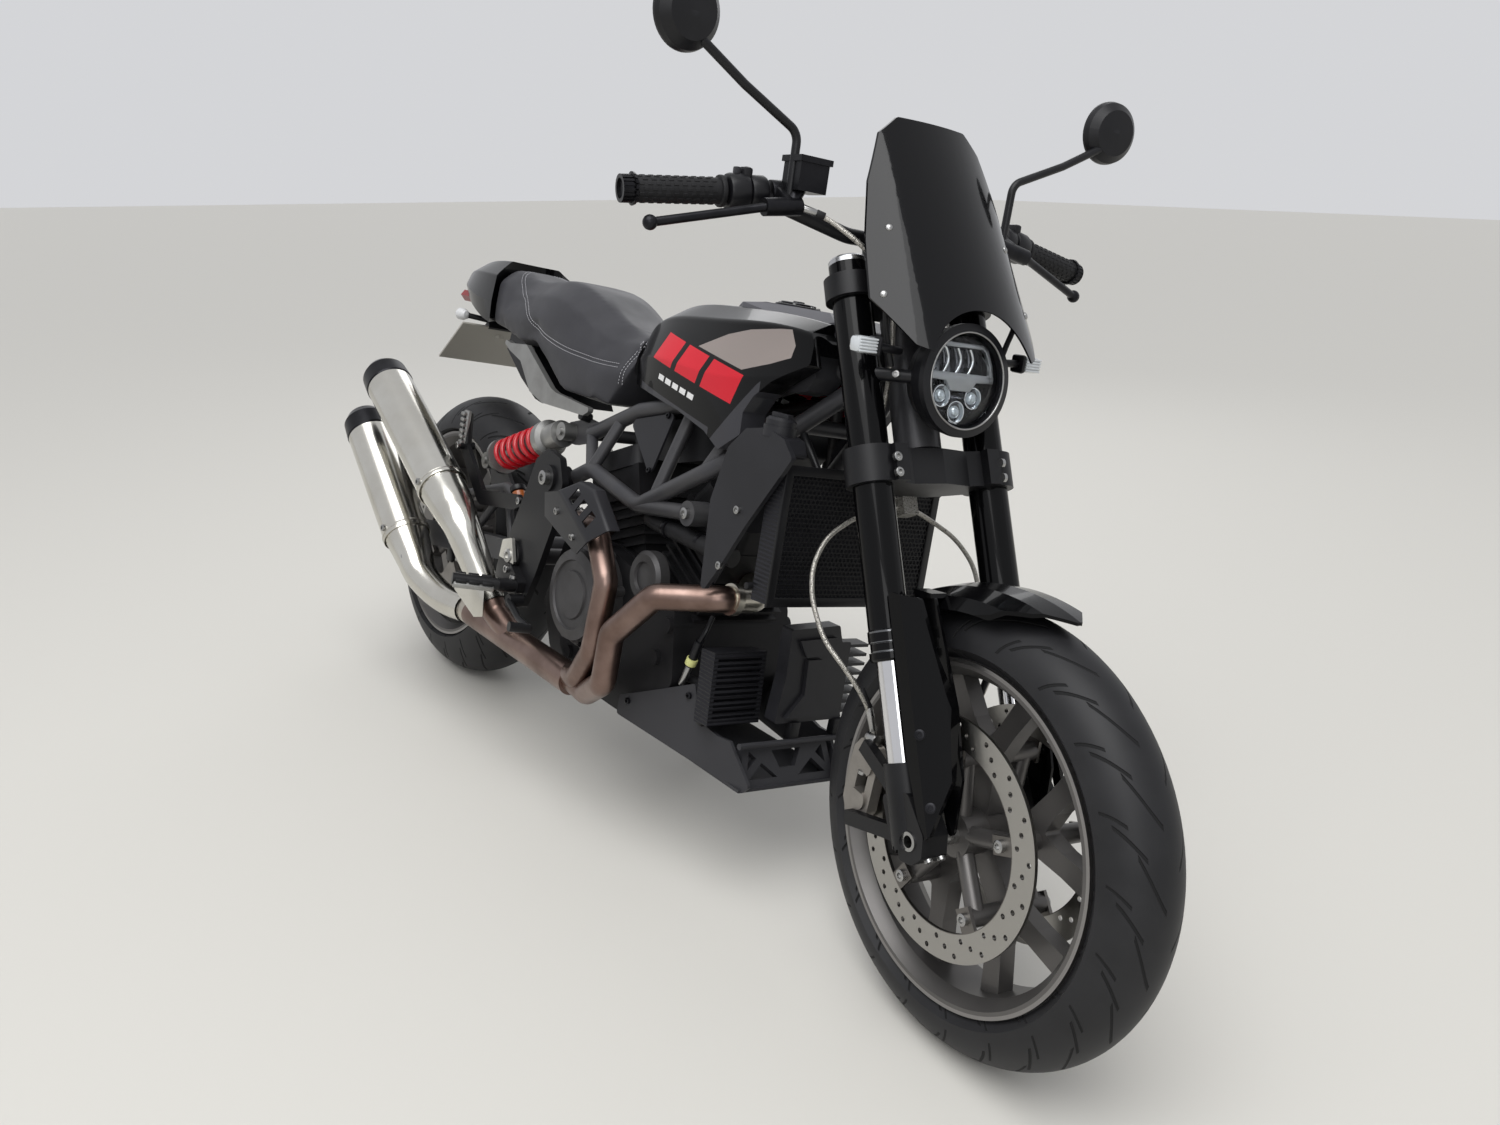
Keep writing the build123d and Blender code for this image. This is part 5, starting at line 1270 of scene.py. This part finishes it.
# Round the outline; the ridge runs from the fourth corner to the last
SHEET = [(648, -227, 546), (660, -227, 506), (780, -227, 470), (832, -243, 503), (862, -227, 530),
         (800, -227, 582), (752, -227, 586), (716, -241, 563)]
shield = outlined(SHEET)
with editing():
    corners(shield, (3, 7))
    bpy.ops.mesh.vert_connect()
    corners(shield, (4, 5, 6, 7))
    bpy.ops.mesh.extrude_edges_indiv()
    bpy.ops.transform.translate(value=(0, 22, 0))
    corners(shield, (3, 4, 5, 6, 7))
    bpy.ops.mesh.bevel(offset=5, segments=3, affect="EDGES")
modifier(shield, "SOLIDIFY", thickness=2.5, offset=0)
outwards(shield)
along, across = Vector((0.888, -0.459)), Vector((0.459, 0.888))
for place in (Vector((762, 564)), Vector((788, 551)), Vector((815, 538))):
    window = [place + along * a + across * b for a, b in ((-8, -14), (8, -14), (8, 11), (-8, 11))]
    cutter = plate(window, side_plane(-235), 60)
    outwards(cutter)
    modifier(shield, "BOOLEAN", object=cutter, operation="DIFFERENCE", solver="FAST")
    apply_all(shield)
    bpy.data.objects.remove(cutter)
posts = [bar((713, -234, 525), (713, -206, 520), 5), bar((775, -234, 494), (775, -212, 494), 5)]
shield = settle(joined(shield, *posts), "pressed_shield", SHROUD_PLASTIC, sharp=30)
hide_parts("heat_shield")
bolt_set("shield_screws", shield, 6, STEEL, [(713, -250, 525), (775, -250, 494)])

# %% [markdown]
# What carries what. Small brackets and bolts join parts that the drawing keeps a little apart: the
# regulator and the oil cooler on the pan, the levers' clamps round the bar, the stand's plate and pivot
# bolt under the engine, the rear caliper's carrier, the stays of screen and instrument, the radiator's
# hangers.

# %% Brackets and stays
brackets = joined(block((16, 20, 30), (1122, 100, 279)), block((16, 20, 30), (1122, 6, 279)),
                  block((16, 16, 14), (1044, -114, 272)), block((28, 9, 36), (98, -120, 292)))
settle(brackets, "brackets", POWDER_BLACK)
hangers = [bar((1144, -66, 696), (1096, -66, 744), 6), bar((540, -96, 668), (540, -117, 673), 9),
           bar((1150, -154, 690), (1150, -168, 690), 5), bar((1150, -154, 524), (1150, -168, 524), 5)]
settle(twin(*hangers), "radiator_hangers", POWDER_BLACK)
oil_hoses = joined(tube([(944, -58, 352), (992, -60, 366), (1040, -62, 372)], 7),
                   tube([(950, -92, 312), (995, -94, 316), (1040, -92, 318)], 7))
settle(oil_hoses, "oil_hoses", GRIP_RUBBER, sharp=60)

STAND_PIVOT = Vector((600, 118, 178))
pin = Vector((0.1, 0.85, 0.5)).normalized()
stand_x = (Vector((1, 0, 0)) - pin * pin.x).normalized()
stand_up = stand_x.cross(pin)
cheek = block((44, 74, 8), STAND_PIVOT - pin * 18 + stand_up * 17, 2, (stand_x, stand_up, pin))
settle(joined(cheek, bar(STAND_PIVOT - pin * 22, STAND_PIVOT + pin * 15, 8)), "stand_plate", POWDER_BLACK)
settle(bar(STAND_PIVOT + pin * 13, STAND_PIVOT + pin * 21, 13, 1, 6), "stand_bolt", STEEL)

clamp_x = Vector((0.909, 0, -0.416))
clamps = twin(block((50, 20, 24), (1136, -200, 1068), 3, (clamp_x, LEFT, clamp_x.cross(LEFT))),
              bar(on_bar(-45), on_bar(-25), 17, 1.5))
settle(clamps, "lever_clamps", ANODISED, "steering")
stays = twin(bar((1176, -50, 1050), (1202, -50, 986), 5),
             tube([(1290, -92, 872), (1288, -108, 915), (1287, -117, 960), (1262, -102, 1004),
                   (1246, -98, 1046), (1212, -62, 1072)], 4))
settle(stays, "screen_stays", POWDER_BLACK, "steering", 60)
DISPLAY = finish("display_glass", "#0b0d10", 0.0, 0.06, {"Coat Weight": 1.0})
face = Vector((-0.8, 0, 0.6))
dial = block((116, 58, 2), Vector((1186, 0, 1084)) + face * 12.6, 0.6, (LEFT, face.cross(LEFT), face))
settle(dial, "display", DISPLAY, "steering")

# %% [markdown]
# The last of the small parts: crimped steel ferrules where the brake hoses start and end, their banjo
# bolts, and the fuel cap on top of the tank with its ring of screws.

# %% Ferrules and fuel cap
hose_ends = twin(bar((1375, -101, 421), (1380, -90, 388), 5.5),
                 bar((1372, -90, 377), (1391, -90, 377), 7.5))
settle(hose_ends, "hose_ends", STEEL, "steering")
settle(twin(bar((1369, -115, 446), (1375, -101, 421), 5)), "hose_sleeves", GRIP_RUBBER, "steering")
settle(bar((1162, -184, 1060), (1170, -166, 1056), 5), "top_ferrule", STEEL, "steering")
settle(bar((1170, -166, 1056), (1175, -155, 1053), 5.2), "top_sleeve", GRIP_RUBBER, "steering")
cap = joined(bar((950, 0, 924), (950, 0, 930), 37, 1.5, 64), bar((950, 0, 929), (950, 0, 934), 29, 2, 64),
             block((20, 9, 4), (950, 0, 935), 1.5))
settle(cap, "fuel_cap", ANODISED)
places = [Matrix.Translation((950 + x, y, 929.6)) for x, y in ring_of(7, 33)]
settle(copied(socket_bolt(2.6), places), "cap_screws", STEEL)
